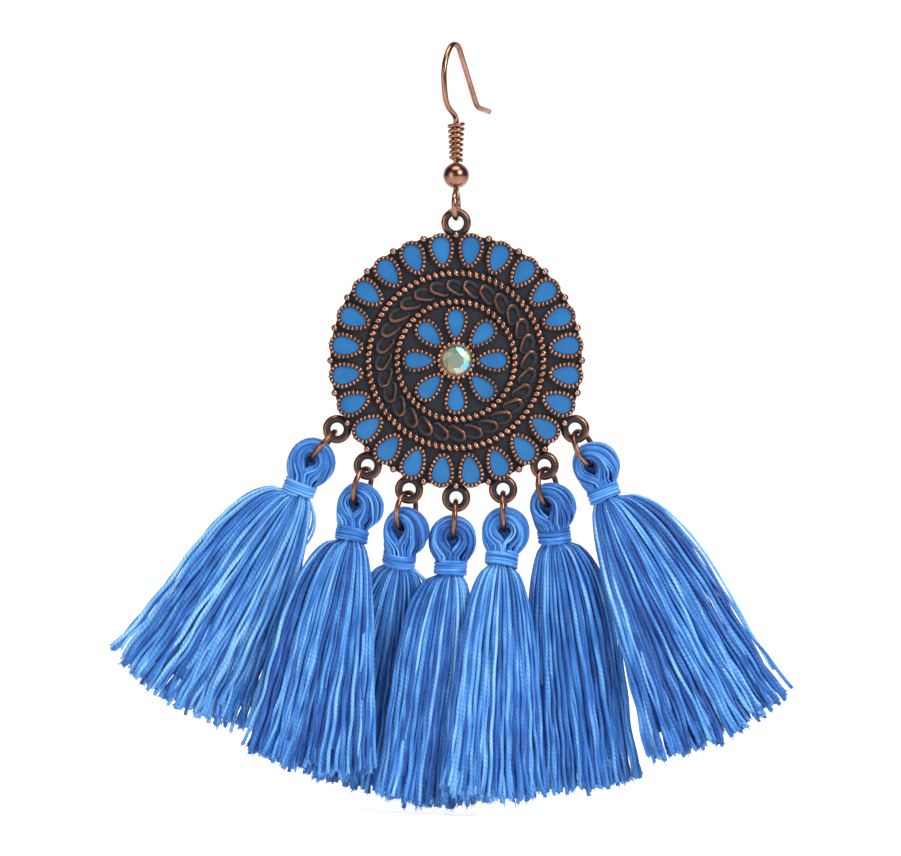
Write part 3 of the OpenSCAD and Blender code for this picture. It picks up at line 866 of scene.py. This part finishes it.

# %% [markdown]
# ## The stone
#
# The stone is foiled crystal with a rainbow film. The cut is already in the solid, so a copy of it is
# welded, and every facet gets a colour by the direction it faces: the film's colours with painted
# reflections on them, light on the facets that face the key lamp at the upper right or the white floor
# below, and dark on those that face the upper left. Each row of the list below is a direction, in
# degrees from the right over the top: pale green, cyan, dark green above, two khakis on the left,
# brown below left, pale green below and blue at the lower right. TABLE is the flat top. A row's last
# number is the gloss, kept in the colour's alpha, because the foil behind some facets looks dull.

# %% Tint the stone's facets
select_nothing()
stone_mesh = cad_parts["rhinestone"].data.copy()
stone = bpy.data.objects.new("stone", stone_mesh)
bpy.context.scene.collection.objects.link(stone)
take(stone)
bpy.ops.object.mode_set(mode="EDIT")
bpy.ops.mesh.select_all(action="SELECT")
bpy.ops.mesh.remove_doubles(threshold=0.000002)
bpy.ops.mesh.dissolve_limited(angle_limit=math.radians(1))
bpy.ops.object.mode_set(mode="OBJECT")
stone.data.shade_flat()
# Each colour is the film's colour with a painted reflection: light towards the lamp and the floor, dark
# towards the upper left.
LIT_FACET_TINTS = [
    (15, (204, 240, 196), 1.0),
    (60, (128, 226, 236), 1.0),
    (105, (86, 122, 102), 0.0),
    (150, (160, 160, 130), 0.0),
    (195, (118, 122, 96), 0.2),
    (240, (168, 150, 122), 0.2),
    (285, (178, 192, 170), 0.8),
    (330, (104, 184, 246), 0.8),
]
TABLE = (0, (136, 150, 136), 0.6)
lit_facet_tints = stone.data.color_attributes.new("lit_tint", "FLOAT_COLOR", "CORNER")
rng = np.random.default_rng(5)
for face in stone.data.polygons:
    facing = face.normal
    if facing.y < -0.98:
        _, colour, gloss = TABLE
    else:
        angle = math.degrees(math.atan2(facing.z, facing.x)) % 360
        _, colour, gloss = min(LIT_FACET_TINTS, key=lambda t: min(abs(t[0] - angle), 360 - abs(t[0] - angle)))
    shade = rng.uniform(0.82, 1.12)
    for k in face.loop_indices:
        lit_facet_tints.data[k].color = (*(min(1.0, c * shade) for c in linear(*colour)), gloss)
foiled = {"Metallic": 0.25, "Coat Weight": 0.25, "Coat Roughness": 0.02}
crystal, tree, shader = new_finish("crystal_film_and_painted_light", foiled)
lit_tint = tree.nodes.new("ShaderNodeVertexColor")
lit_tint.layer_name = "lit_tint"
tree.links.new(lit_tint.outputs["Color"], shader.inputs["Base Color"])
tree.links.new(map_range(tree, lit_tint.outputs["Alpha"], 0, 1, 0.6, 0.06), shader.inputs["Roughness"])
settle(stone, "cut_stone", crystal, "drop", ["rhinestone"])

# %% [markdown]
# ## Where each tassel hangs
#
# The seven tassels are one pattern hung seven ways, so a table with named columns holds what
# differs: the jump ring's lean and turn, the neck's tilt, the directions of the skirt's two edges,
# how far it leans and rolls to the back, its length and how much its sides bulge. Angles are in
# degrees, positive to the right, and the last three columns are shares of the skirt's length.

# %% The table of tassels
COLUMNS = ("lean", "turn", "tilt", "left", "right", "fore", "roll", "length", "left_bulge", "right_bulge")
ROWS = [
    (-40, 5, -22, -50.5, -9, 4, 4, 1, 0.11, 0.025),
    (-15, 24, -10, -28, 7, -5.5, 0, 0.95, 0.09, 0.025),
    (-8, 30, -8, -24, 7, 11.5, 0, 0.955, 0.065, 0.05),
    (-5, 0, -4, -19, 6, -1, 12, 0.94, 0.085, 0.03),
    (2, 4, -6, -16, 12, -9.5, 0, 0.955, 0.05, 0.045),
    (8, 30, 8, -7, 21, 4, 0, 1.03, 0.035, 0.1),
    (27, 26, 20, 8.5, 44, -4, 5, 1.085, 0.03, 0.105),
]
HANG = [dict(zip(COLUMNS, row)) for row in ROWS]


def line_place(number, drop):
    """The frame on the line that a ring and its tassel hang on, at a distance below the loop."""
    a = math.radians((number - 4) * LOOP_STEP)
    loop = Vector((STEM.x + LOOP_REACH * math.sin(a), STEM.y, PLATE_Z - LOOP_REACH * math.cos(a)))
    lean = turned("Y", -HANG[number - 1]["lean"])
    return Matrix.Translation(loop) @ lean @ Matrix.Translation((0, 0, -drop))


# %% [markdown]
# ## Jump rings
#
# A jump ring is a short wire bent round until its ends meet. The ring is a torus with one thin slice
# of faces taken out, and the two cut ends are filled, which leaves the fine slit of a real one. The
# slit is turned up to the loop, where it is least seen.

# %% Close the jump rings
def make_jump_ring(number):
    select_nothing()
    bpy.ops.mesh.primitive_torus_add(
        major_segments=64, minor_segments=16, major_radius=RING_R, minor_radius=RING_WIRE_R
    )
    ring = bpy.context.object
    step = 2 * math.pi / 64
    pick(ring, lambda face: 0 < math.atan2(face.center.y, face.center.x) < step, "polygons")
    bpy.ops.mesh.delete(type="FACE")
    bpy.ops.mesh.select_mode(type="EDGE")
    bpy.ops.mesh.select_non_manifold()
    bpy.ops.mesh.fill_holes(sides=16)
    bpy.ops.object.mode_set(mode="OBJECT")
    for vertex in ring.data.vertices:
        a = math.atan2(vertex.co.y, vertex.co.x)
        if abs(a - step) < 0.001:
            vertex.co = Matrix.Rotation(-step * 0.8, 3, "Z") @ vertex.co
    take(ring)
    bpy.ops.object.shade_smooth_by_angle(angle=math.radians(50))
    upright = turned("Z", -HANG[number - 1]["turn"]) @ turned("Y", 90)
    ring.data.transform(Matrix.Scale(MM, 4) @ line_place(number, RING_DROP) @ upright @ turned("Z", 175))
    return settle(ring, f"wire_ring_{number}", ring_copper, "drop", [f"jump_ring_{number}"])


for number in range(1, 8):
    make_jump_ring(number)

# %% [markdown]
# ## Thread, as a finish
#
# The thread is glossy rayon in two plies. Close up it is a row of slanted swellings with dark
# grooves between them. A group works this out from the thread's own UV map, where U goes once round
# the thread and V is its length in millimetres. It puts out the swelling's height and a shade that
# is dark in the grooves. Its Depth input fades the twist, because the plies show on the hanging
# skirts and hardly at all where the thread is pulled tight over a head or round a neck.
#
# The blue isn't even either, and part of that is painted light. A noise stretched along each thread
# gives it lighter and darker runs, as painted highlights where fibres catch the light, the thread's
# own tone shifts it as a whole, and a soft sheen stands for the finest fibres.

# %% The plied thread group
plied, into, out = new_group(
    "plied_thread",
    [
        ("UV", "NodeSocketVector", None),
        ("Step", "NodeSocketFloat", 0.55),
        ("Depth", "NodeSocketFloat", 1.0),
    ],
    [("Height", "NodeSocketFloat"), ("Shade", "NodeSocketFloat")],
)
parts = split_node(plied, into.outputs["UV"])
along = math_node(plied, "DIVIDE", parts["Y"], into.outputs["Step"])
phase = math_node(plied, "MULTIPLY_ADD", parts["X"], 2.0, along)
wave = math_node(plied, "SINE", math_node(plied, "MULTIPLY", phase, math.pi))
swelling = math_node(plied, "ABSOLUTE", wave)
plied.links.new(math_node(plied, "MULTIPLY", swelling, into.outputs["Depth"]), out.inputs["Height"])
groove = map_range(plied, swelling, 0.0, 0.75, 1.0, 0.0)
darkening = math_node(plied, "MULTIPLY", groove, into.outputs["Depth"])
shade = math_node(plied, "SUBTRACT", 1.0, darkening, clamp=True)
plied.links.new(shade, out.inputs["Shade"])
print("group:", plied.name)

# %% Blue thread
def thread_material():
    silky = {
        "Roughness": 0.46,
        "Specular IOR Level": 0.4,
        "Sheen Weight": 0.3,
        "Sheen Roughness": 0.4,
        "Sheen Tint": (0.5, 0.75, 1.0, 1),
    }
    material, tree, shader = new_finish("blue_thread", silky)
    uv = tree.nodes.new("ShaderNodeUVMap")
    uv.uv_map = "thread"
    group = tree.nodes.new("ShaderNodeGroup")
    group.node_tree = plied
    tree.links.new(uv.outputs["UV"], group.inputs["UV"])
    tone, ply = (tree.nodes.new("ShaderNodeAttribute") for _ in range(2))
    tone.attribute_name = "tone"
    ply.attribute_name = "ply"
    tone = tone.outputs["Fac"]
    place = tree.nodes.new("ShaderNodeTexCoord").outputs["Object"]
    patch = noise_node(tree, place, 700, 2.0)
    depth = math_node(tree, "MULTIPLY", ply.outputs["Fac"], map_range(tree, patch, 0.3, 0.7, 0.15, 0.75))
    tree.links.new(depth, group.inputs["Depth"])
    run = split_node(tree, uv.outputs["UV"])["Y"]
    lengthwise = tree.nodes.new("ShaderNodeCombineXYZ")
    tree.links.new(math_node(tree, "MULTIPLY", tone, 61.0), lengthwise.inputs["X"])
    shifted = math_node(tree, "MULTIPLY", tone, 17.0)
    tree.links.new(math_node(tree, "MULTIPLY_ADD", run, 0.13, shifted), lengthwise.inputs["Y"])
    # The lighter runs are painted highlights, where fibres would catch the light.
    highlight_streak = noise_node(tree, lengthwise.outputs[0], 1.0, 2.0, 0.6)
    mixed = math_node(tree, "MULTIPLY_ADD", highlight_streak, 1.25, math_node(tree, "MULTIPLY", tone, 0.62))
    mixed = math_node(tree, "MULTIPLY_ADD", patch, 0.3, math_node(tree, "SUBTRACT", mixed, 0.56))
    colour = ramp_node(
        tree,
        mixed,
        [
            (0.12, linear(20, 64, 143)),
            (0.42, linear(44, 114, 195)),
            (0.66, linear(88, 160, 231)),
            (0.92, linear(142, 202, 246)),
        ],
    )
    darker = tree.nodes.new("ShaderNodeMix")
    darker.data_type = "RGBA"
    darker.blend_type = "MIX"
    darker.inputs["A"].default_value = (*linear(16, 52, 128), 1)
    tree.links.new(map_range(tree, group.outputs["Shade"], 0.0, 1.0, 0.1, 1.0), darker.inputs["Factor"])
    tree.links.new(colour, darker.inputs["B"])
    tree.links.new(darker.outputs["Result"], shader.inputs["Base Color"])
    add_bump(tree, shader, group.outputs["Height"], 0.7, 0.00008)
    return material


blue_thread = thread_material()
print("finish:", blue_thread.name)

# %% [markdown]
# ## From a path to a thread
#
# A tassel is some hundred threads, so they aren't drawn one by one. Each is worked out as a path, a
# row of points, and all the paths of a tassel are swept at once into six-sided tubes in a single
# mesh. The sweep also writes the UV map, a tone for each thread, because no two threads catch the
# light alike, and how strongly the plies of the bundle show.

# %% Sweep many paths at once
def sweep_threads(bundles, sides=6):
    """One object from bundles of paths, radii, tones and ply.

    paths has the shape (threads, steps, 3) and is in millimetres. There is a radius for each point,
    a tone for each thread, and one ply for the bundle.
    """
    corners = []
    quads = []
    caps = []
    uvs = []
    tones = []
    plies = []
    start = 0
    for paths, radii, tone, ply in bundles:
        count, steps, _ = paths.shape
        tangents = np.gradient(paths, axis=1)
        tangents /= np.linalg.norm(tangents, axis=2, keepdims=True) + 1e-12
        side = np.cross(tangents, np.array([0.0, 1.0, 0.0]))
        side /= np.linalg.norm(side, axis=2, keepdims=True) + 1e-12
        other = np.cross(tangents, side)
        b = np.arange(sides) * 2 * np.pi / sides
        ring = (
            side[:, :, None, :] * np.cos(b)[None, None, :, None]
            + other[:, :, None, :] * np.sin(b)[None, None, :, None]
        )
        points = paths[:, :, None, :] + ring * radii[:, :, None, None]
        corners.append(points.reshape(-1, 3))
        index = start + np.arange(count * steps * sides).reshape(count, steps, sides)
        after = np.roll(index, -1, axis=2)
        quad = np.stack([index[:, :-1], after[:, :-1], after[:, 1:], index[:, 1:]], axis=-1)
        quads.append(quad.reshape(-1, 4))
        hop = np.linalg.norm(np.diff(paths, axis=1), axis=2)
        run = np.concatenate([np.zeros((count, 1)), np.cumsum(hop, axis=1)], axis=1)
        u = np.arange(sides) / sides
        uv = np.zeros((count, steps - 1, sides, 4, 2))
        uv[..., 0, 0] = uv[..., 3, 0] = u
        uv[..., 1, 0] = uv[..., 2, 0] = u + 1 / sides
        uv[..., 0, 1] = uv[..., 1, 1] = run[:, :-1, None]
        uv[..., 2, 1] = uv[..., 3, 1] = run[:, 1:, None]
        uvs.append(uv.reshape(-1, 2))
        caps.append(index[:, 0, ::-1])
        caps.append(index[:, -1, :])
        tones.append(np.repeat(tone, steps * sides))
        plies.append(np.full(count * steps * sides, ply))
        start += count * steps * sides
    corners = np.concatenate(corners) * MM
    quads = np.concatenate(quads)
    caps = np.concatenate(caps)
    mesh = bpy.data.meshes.new("threads")
    mesh.vertices.add(len(corners))
    mesh.vertices.foreach_set("co", corners.astype(np.float32).ravel())
    loops = np.concatenate([quads.ravel(), caps.ravel()])
    mesh.loops.add(len(loops))
    mesh.loops.foreach_set("vertex_index", loops.astype(np.int32))
    starts = np.concatenate([np.arange(len(quads)) * 4, len(quads) * 4 + np.arange(len(caps)) * sides])
    mesh.polygons.add(len(starts))
    mesh.polygons.foreach_set("loop_start", starts.astype(np.int32))
    mesh.update(calc_edges=True)
    mesh.validate()
    layer = mesh.uv_layers.new(name="thread")
    flat = np.zeros((len(loops), 2), np.float32)
    flat[: len(quads) * 4] = np.concatenate(uvs)
    layer.data.foreach_set("uv", flat.ravel())
    for title, values in (("tone", tones), ("ply", plies)):
        attribute = mesh.attributes.new(title, "FLOAT", "POINT")
        attribute.data.foreach_set("value", np.concatenate(values).astype(np.float32))
    mesh.shade_smooth()
    piece = bpy.data.objects.new("threads", mesh)
    bpy.context.scene.collection.objects.link(piece)
    return piece


# %% [markdown]
# ## A skirt's threads
#
# Every thread leaves the neck at its own spot and ends at the same spot of a wider, flatter skirt.
# So a thread is a pair of numbers: across, from the left edge at -1 to the right edge at 1, and
# deep, from the front at -1 to the back at 1. The spots are laid like seeds in a sunflower, which
# fills a round evenly. On the way down the threads bulge, gather into loose locks, wander a little
# and end at uneven lengths. THICKNESS is the skirt's thickness at the shares of its length in ALONG.
# Some thick threads in the middle keep light from showing through; they are painted in the darkest tone,
# as shade inside the skirt.

# %% Paths of a skirt
ALONG = (0, 0.06, 0.16, 0.32, 0.55, 0.8, 1.0, 1.2)
THICKNESS = (0.88, 1.05, 1.12, 1.08, 1.0, 0.95, 0.9, 0.9)
GOLDEN_TURN = 2.399963


def sunflower(count, turn=0.0, rise=0.5):
    """Spots in a round, evenly spread, or closer together near the edge if rise is under a half."""
    k = np.arange(count)
    r = ((k + 0.5) / count) ** rise
    a = k * GOLDEN_TURN + turn
    return r * np.cos(a), r * np.sin(a)


def skirt_points(row, across, deep, along):
    """Where a thread is, before the skirt leans: across and deep in the neck, along from 0 to 1."""
    side = (np.clip(across, -1.3, 1.3) + 1) / 2
    aim = np.radians(row["left"] + (row["right"] - row["left"]) * side)
    bulge = SKIRT_L * across * (row["left_bulge"] + (row["right_bulge"] - row["left_bulge"]) * side)
    out = bulge * (3.86 * along**0.6 * np.clip(1 - along, 0, 1) ** 1.8)
    tilt = math.radians(row["tilt"])
    reach = SKIRT_L * row["length"]
    neck = (1 - along) * (NECK_R * across)
    top = NECK_L * np.array([math.sin(tilt), -math.cos(tilt)])
    x = top[0] + neck * math.cos(tilt) + along * reach * np.sin(aim) + out * np.cos(aim)
    z = top[1] + neck * math.sin(tilt) - along * reach * np.cos(aim) + out * np.sin(aim)
    thick = np.interp(along, ALONG, THICKNESS)
    y = SKIRT_DEPTH * 0.9 * thick * deep
    aim_mid = math.radians((row["left"] + row["right"]) / 2)
    middle_x = top[0] + along * reach * math.sin(aim_mid)
    y = y + (x - middle_x) * math.tan(math.radians(row["roll"])) * np.minimum(1, along * 5)
    return np.stack([x, y, z], axis=-1)


def neck_place(number):
    """The frame at the middle of the head, leaning fore and aft as the skirt does."""
    head = line_place(number, HEAD_DROP).translation
    return Matrix.Translation(head) @ turned("X", HANG[number - 1]["fore"])


def moved(points, place):
    turn = np.array(place)
    return points @ turn[:3, :3].T + turn[:3, 3]


def skirt_threads(number, count=150, steps=32):
    row = HANG[number - 1]
    rng = np.random.default_rng(100 + number)
    across, deep = sunflower(count, number, 0.42)
    knots = np.stack(sunflower(26, number * 1.7), axis=1)
    gaps = np.linalg.norm(np.stack([across, deep], axis=1)[:, None] - knots[None], axis=2)
    lock = np.argmin(gaps, axis=1)
    length = 0.995 + rng.normal(0, 0.009, len(knots))[lock] + rng.normal(0, 0.01, count)
    length -= (rng.random(count) < 0.04) * rng.uniform(0.03, 0.07, count)
    share = np.linspace(0, 1, steps)[None, :]
    along = share * length[:, None]
    pull = 0.24 * np.clip(share * 1.15, 0, 1) ** 1.2
    gather = rng.uniform(0.2, 1.0, len(knots))[lock][:, None]
    a = across[:, None] + (knots[lock, 0] - across)[:, None] * pull * gather
    d = deep[:, None] + (knots[lock, 1] - deep)[:, None] * pull * gather
    wave = rng.uniform(0.5, 1.6, (count, 2))
    start = rng.uniform(0, 2 * np.pi, (count, 2))
    a = a + 0.03 * share * np.sin(2 * np.pi * wave[:, :1] * share + start[:, :1])
    a = a + 0.015 * np.sqrt(share) * np.sin(2 * np.pi * (2.5 + 1.6 * wave[:, 1:]) * share + start[:, 1:])
    d = d + 0.17 * share * np.sin(2 * np.pi * wave[:, 1:] * share + start[:, 1:])
    a = a + rng.normal(0, 0.05, (count, 1)) * share
    a = np.clip(a, -1.04, 1.04)
    paths = skirt_points(row, a, d, along)
    radii = (0.14 + 0.09 * np.clip(share * 3.2, 0, 1)) * rng.uniform(0.82, 1.14, (count, 1))
    above = skirt_points(row, across[:, None] * 0.86, deep[:, None] * 0.8, np.zeros((count, 1)))
    tilt = math.radians(row["tilt"])
    above = above - 1.0 * np.array([math.sin(tilt), 0, -math.cos(tilt)])
    paths = np.concatenate([above, paths], axis=1)
    radii = np.concatenate([radii[:, :1], radii], axis=1)
    return moved(paths, neck_place(number)), radii, rng.random(count)


def skirt_core(number, count=18, steps=12):
    across, deep = sunflower(count, number)
    share = np.linspace(0.0, 0.9, steps)[None, :]
    along = share * np.ones((count, 1))
    paths = skirt_points(HANG[number - 1], across[:, None] * 0.76, deep[:, None] * 0.45, along)
    radii = (0.2 + 0.5 * np.clip(share * 2, 0, 1)) * np.ones((count, 1))
    # The core threads get tone 0, the darkest, as painted shade inside the skirt.
    return moved(paths, neck_place(number)), radii, np.zeros(count), 0.6


# %% [markdown]
# ## A head's threads
#
# Above its winding a tassel is the same hank folded over the jump ring, so each thread comes up one
# side, passes round the ring and goes down the other side. Seen from the front the folds are arcs
# round a small dark dimple. A path follows half a circle over the dimple, at its own distance from
# it, and then eases to its spot in the neck, where both sides of the fold make one round. The inner
# paths ease sooner than the outer ones, so that they close in a V under the ring, and a few short
# stubs of thread stand in the V. The hank faces the way its ring is turned, and the neck leans with
# the skirt, so the lower part of each path is eased from the one frame to the other.
#
# A hank isn't smooth: its threads lie in STRANDS loose strands with grooves between them, and the
# threads in the grooves and the stubs in the V are painted darker, as painted shade. No two heads are
# alike either, so HEADS has a row for each: how much the head swells on its right, and what is added
# to the tone of its threads.

# %% Paths of a head
STRANDS = 9
STUBS = ((-0.42, 0.36), (-0.23, 0.0), (0, -0.12), (0.23, 0.0), (0.42, 0.36))
STUB_DEPTHS = (-0.35, 0.2, 0.75)
HEADS = {
    1: (0.08, 0.0),
    2: (0.2, -0.02),
    3: (0.2, -0.1),
    4: (0.0, -0.16),
    5: (0.05, -0.06),
    6: (0.18, -0.16),
    7: (0.14, -0.06),
}


def head_threads(number, steps=28):
    row = HANG[number - 1]
    rng = np.random.default_rng(300 + number)
    swell, tone = HEADS[number]
    spots = []
    for share, count in ((0.95, 54), (0.76, 30), (0.45, 12)):
        for k in range(count):
            spots.append((share, 2 * math.pi * (k + rng.uniform(-0.3, 0.3)) / count + share * 3))
    count = len(spots)
    spot = np.array([s[1] for s in spots])[:, None]
    strand = np.cos(STRANDS * spot)
    share = np.array([s[0] for s in spots])[:, None] + 0.04 * strand
    t = np.linspace(-1, 1, steps)[None, :]
    slant = rng.uniform(0.2, 1.1, (count, 1))
    twist = spot + slant * t + 0.15 * np.sin(3 * t + spot * 2)
    mean_r = (HEAD_R + HEAD_HOLE_R) / 2
    hank_r = (HEAD_R - HEAD_HOLE_R) / 2 - 0.04
    rho = mean_r + hank_r * share * np.cos(twist)
    y = HEAD_DEPTH * share * np.sin(twist)
    outward = np.clip((rho - HEAD_HOLE_R) / (HEAD_R - HEAD_HOLE_R), 0, 1)
    round_a = 0.8 * (np.mod(twist + math.pi, 2 * math.pi) - math.pi)
    neck_x = np.maximum(1.8 * share * np.cos(round_a), 0.1)
    neck_y = 1.8 * share * np.sin(round_a) * np.clip((2.6 - np.abs(round_a)) / 0.6, 0, 1)
    foot = -(WRAP_TOP + WRAP_H * 0.5)
    over = np.clip(np.abs(t) / 0.45, 0, 1) * math.pi / 2
    down = np.clip((np.abs(t) - 0.45) / 0.55, 0, 1)
    z_low = foot * down
    reach = 0.75 + (WRAP_TOP - 0.75) * outward**0.7
    ease = np.clip(-z_low / reach, 0, 1) ** (1.4 + outward)
    x = np.where(down > 0, rho + (neck_x - rho) * ease, rho * np.sin(over))
    z = np.where(down > 0, z_low, rho * np.cos(over))
    y = y + (neck_y - y) * ease
    tucked = 1 - 0.1 * np.clip((-z - WRAP_TOP) / 0.4, 0, 1)
    x = x * tucked
    y = y * tucked
    side = np.sign(t + 1e-9)
    x = x * side * (1 + swell * side * outward * (1 - ease))
    points = np.stack([x, y * np.ones_like(t), z], axis=-1)
    for sideways, top in STUBS:
        for backward in STUB_DEPTHS:
            stub = np.stack([np.full(steps, v) for v in (sideways, backward, top)], axis=-1)
            stub[:, 2] = np.linspace(top, -2.0, steps)
            points = np.concatenate([points, stub[None]])
    stubs = len(STUBS) * len(STUB_DEPTHS)
    line = line_place(number, HEAD_DROP) @ turned("Z", -row["turn"])
    lower = neck_place(number) @ turned("Y", -row["tilt"])
    ease = np.clip(-points[:, :, 2] / WRAP_TOP, 0, 1)
    ease = (ease**2 * (3 - 2 * ease))[..., None]
    paths = moved(points, line) * (1 - ease) + moved(points, lower) * ease
    # Threads on a strand's crest are painted lighter and those in the grooves between strands darker, as
    # painted shade.
    tones = rng.uniform(0.08, 0.62, count) + 0.14 * strand[:, 0] + tone
    # The stubs get tone 0, the darkest, as painted shade in the V under the ring.
    tones = np.concatenate([tones, np.zeros(stubs)])
    return paths, np.full((count + stubs, steps), 0.12), tones, 0.45


# %% [markdown]
# ## Fuzz and strays
#
# Cut rayon frays. A few hair-thin fibres stick out past each thread's end, and on three tassels a
# thread or two has slipped its lock and hangs loose. A row of STRAYS is such a thread: its spot
# across and deep, its length, and how far it is pushed out on the way. The hairs are swept like
# threads, with three sides and few steps. TASSEL_TONES makes a whole skirt lighter or darker.

# %% Frayed ends and stray threads
def frayed_ends(paths, number, hairs=3):
    rng = np.random.default_rng(500 + number)
    ends = paths[:, -1]
    ahead = paths[:, -1] - paths[:, -3]
    ahead /= np.linalg.norm(ahead, axis=1, keepdims=True)
    ends = np.repeat(ends, hairs, axis=0)
    ahead = np.repeat(ahead, hairs, axis=0)
    count = len(ends)
    root = ends + rng.normal(0, 0.11, (count, 3)) - ahead * 0.4
    aim = ahead + rng.normal(0, 0.18, (count, 3))
    reach = rng.uniform(0.35, 0.65, (count, 1))
    bend = rng.normal(0, 0.12, (count, 3))
    s = np.linspace(0, 1, 4)[None, :, None]
    hairs_at = root[:, None] + aim[:, None] * reach[:, None] * s + bend[:, None] * s**2
    radii = np.linspace(0.09, 0.04, 4)[None, :] * np.ones((count, 1))
    return hairs_at, radii, rng.uniform(0.2, 0.9, count), 0.0


STRAYS = {
    1: [(0.95, -0.1, 0.2, 0.5), (0.97, 0.3, 0.17, 0.3)],
    3: [(1.0, -0.3, 0.2, 0.3), (1.0, 0.2, 0.26, 0.16)],
    7: [(1.0, -0.2, 0.9, 0.06)],
}


def stray_threads(number, steps=22):
    rows = STRAYS.get(number, [])
    if not rows:
        return None
    across, deep, length, push = (np.array(column)[:, None] for column in zip(*rows))
    share = np.linspace(0, 1, steps)[None, :]
    a = across + push * 5 * share * (1 - share) ** 1.3
    paths = skirt_points(HANG[number - 1], a, deep * np.ones_like(share), share * length)
    radii = np.full((len(rows), steps), 0.15)
    return moved(paths, neck_place(number)), radii, np.full(len(rows), 0.95), 0.6


# %% Make the tassels
TASSEL_TONES = {1: 0.22, 2: -0.02, 3: -0.04, 4: 0.14, 5: 0.12, 6: 0.04, 7: -0.04}
threads_made = 0
for number in range(1, 8):
    paths, radii, tones = skirt_threads(number, 176 if number in (1, 7) else 150)
    tones = tones * 0.9 + TASSEL_TONES[number]
    bundles = [(paths, radii, tones, 1.0), skirt_core(number), head_threads(number)]
    stray = stray_threads(number)
    if stray:
        bundles.append(stray)
    tassel = sweep_threads(bundles)
    fuzz = sweep_threads([frayed_ends(paths, number)], sides=3)
    tassel = join([tassel, fuzz])
    settle(tassel, f"thread_tassel_{number}", blue_thread, "drop", [f"tassel_{number}"])
    threads_made += sum(len(b[0]) for b in bundles)
print("threads:", threads_made)

# %% [markdown]
# ## Neck windings
#
# A fine thread is wound round each neck and its end tucked in. The winding is a helix of some eight
# close turns that wander over each other, swept like the other threads, at the neck's tilt.

# %% Wind the necks
def neck_winding(number, turns=7.6, steps=190, thread_r=0.155):
    rng = np.random.default_rng(700 + number)
    s = np.linspace(0, 1, steps)
    a = s * turns * 2 * math.pi + number
    tucked = 0.25 * np.clip((s - 0.97) / 0.03, 0, 1)
    r = NECK_R + 0.3 + 0.04 * np.sin(a * 0.43 + number) - tucked
    z = -(WRAP_TOP + thread_r) - (WRAP_H - 2 * thread_r) * s
    z = z + 0.09 * np.sin(a + 2 * number) + 0.07 * np.sin(0.61 * a + number)
    path = np.stack([r * np.cos(a), r * np.sin(a), z], axis=-1)[None]
    place = neck_place(number) @ turned("Y", -HANG[number - 1]["tilt"])
    radii = np.full((1, steps), thread_r)
    winding = sweep_threads([(moved(path, place), radii, rng.uniform(0.3, 0.8, 1), 0.3)])
    wrap = f"tassel_wrap_{number}"
    return settle(winding, f"neck_winding_{number}", blue_thread, "drop", [wrap])


for number in range(1, 8):
    neck_winding(number)
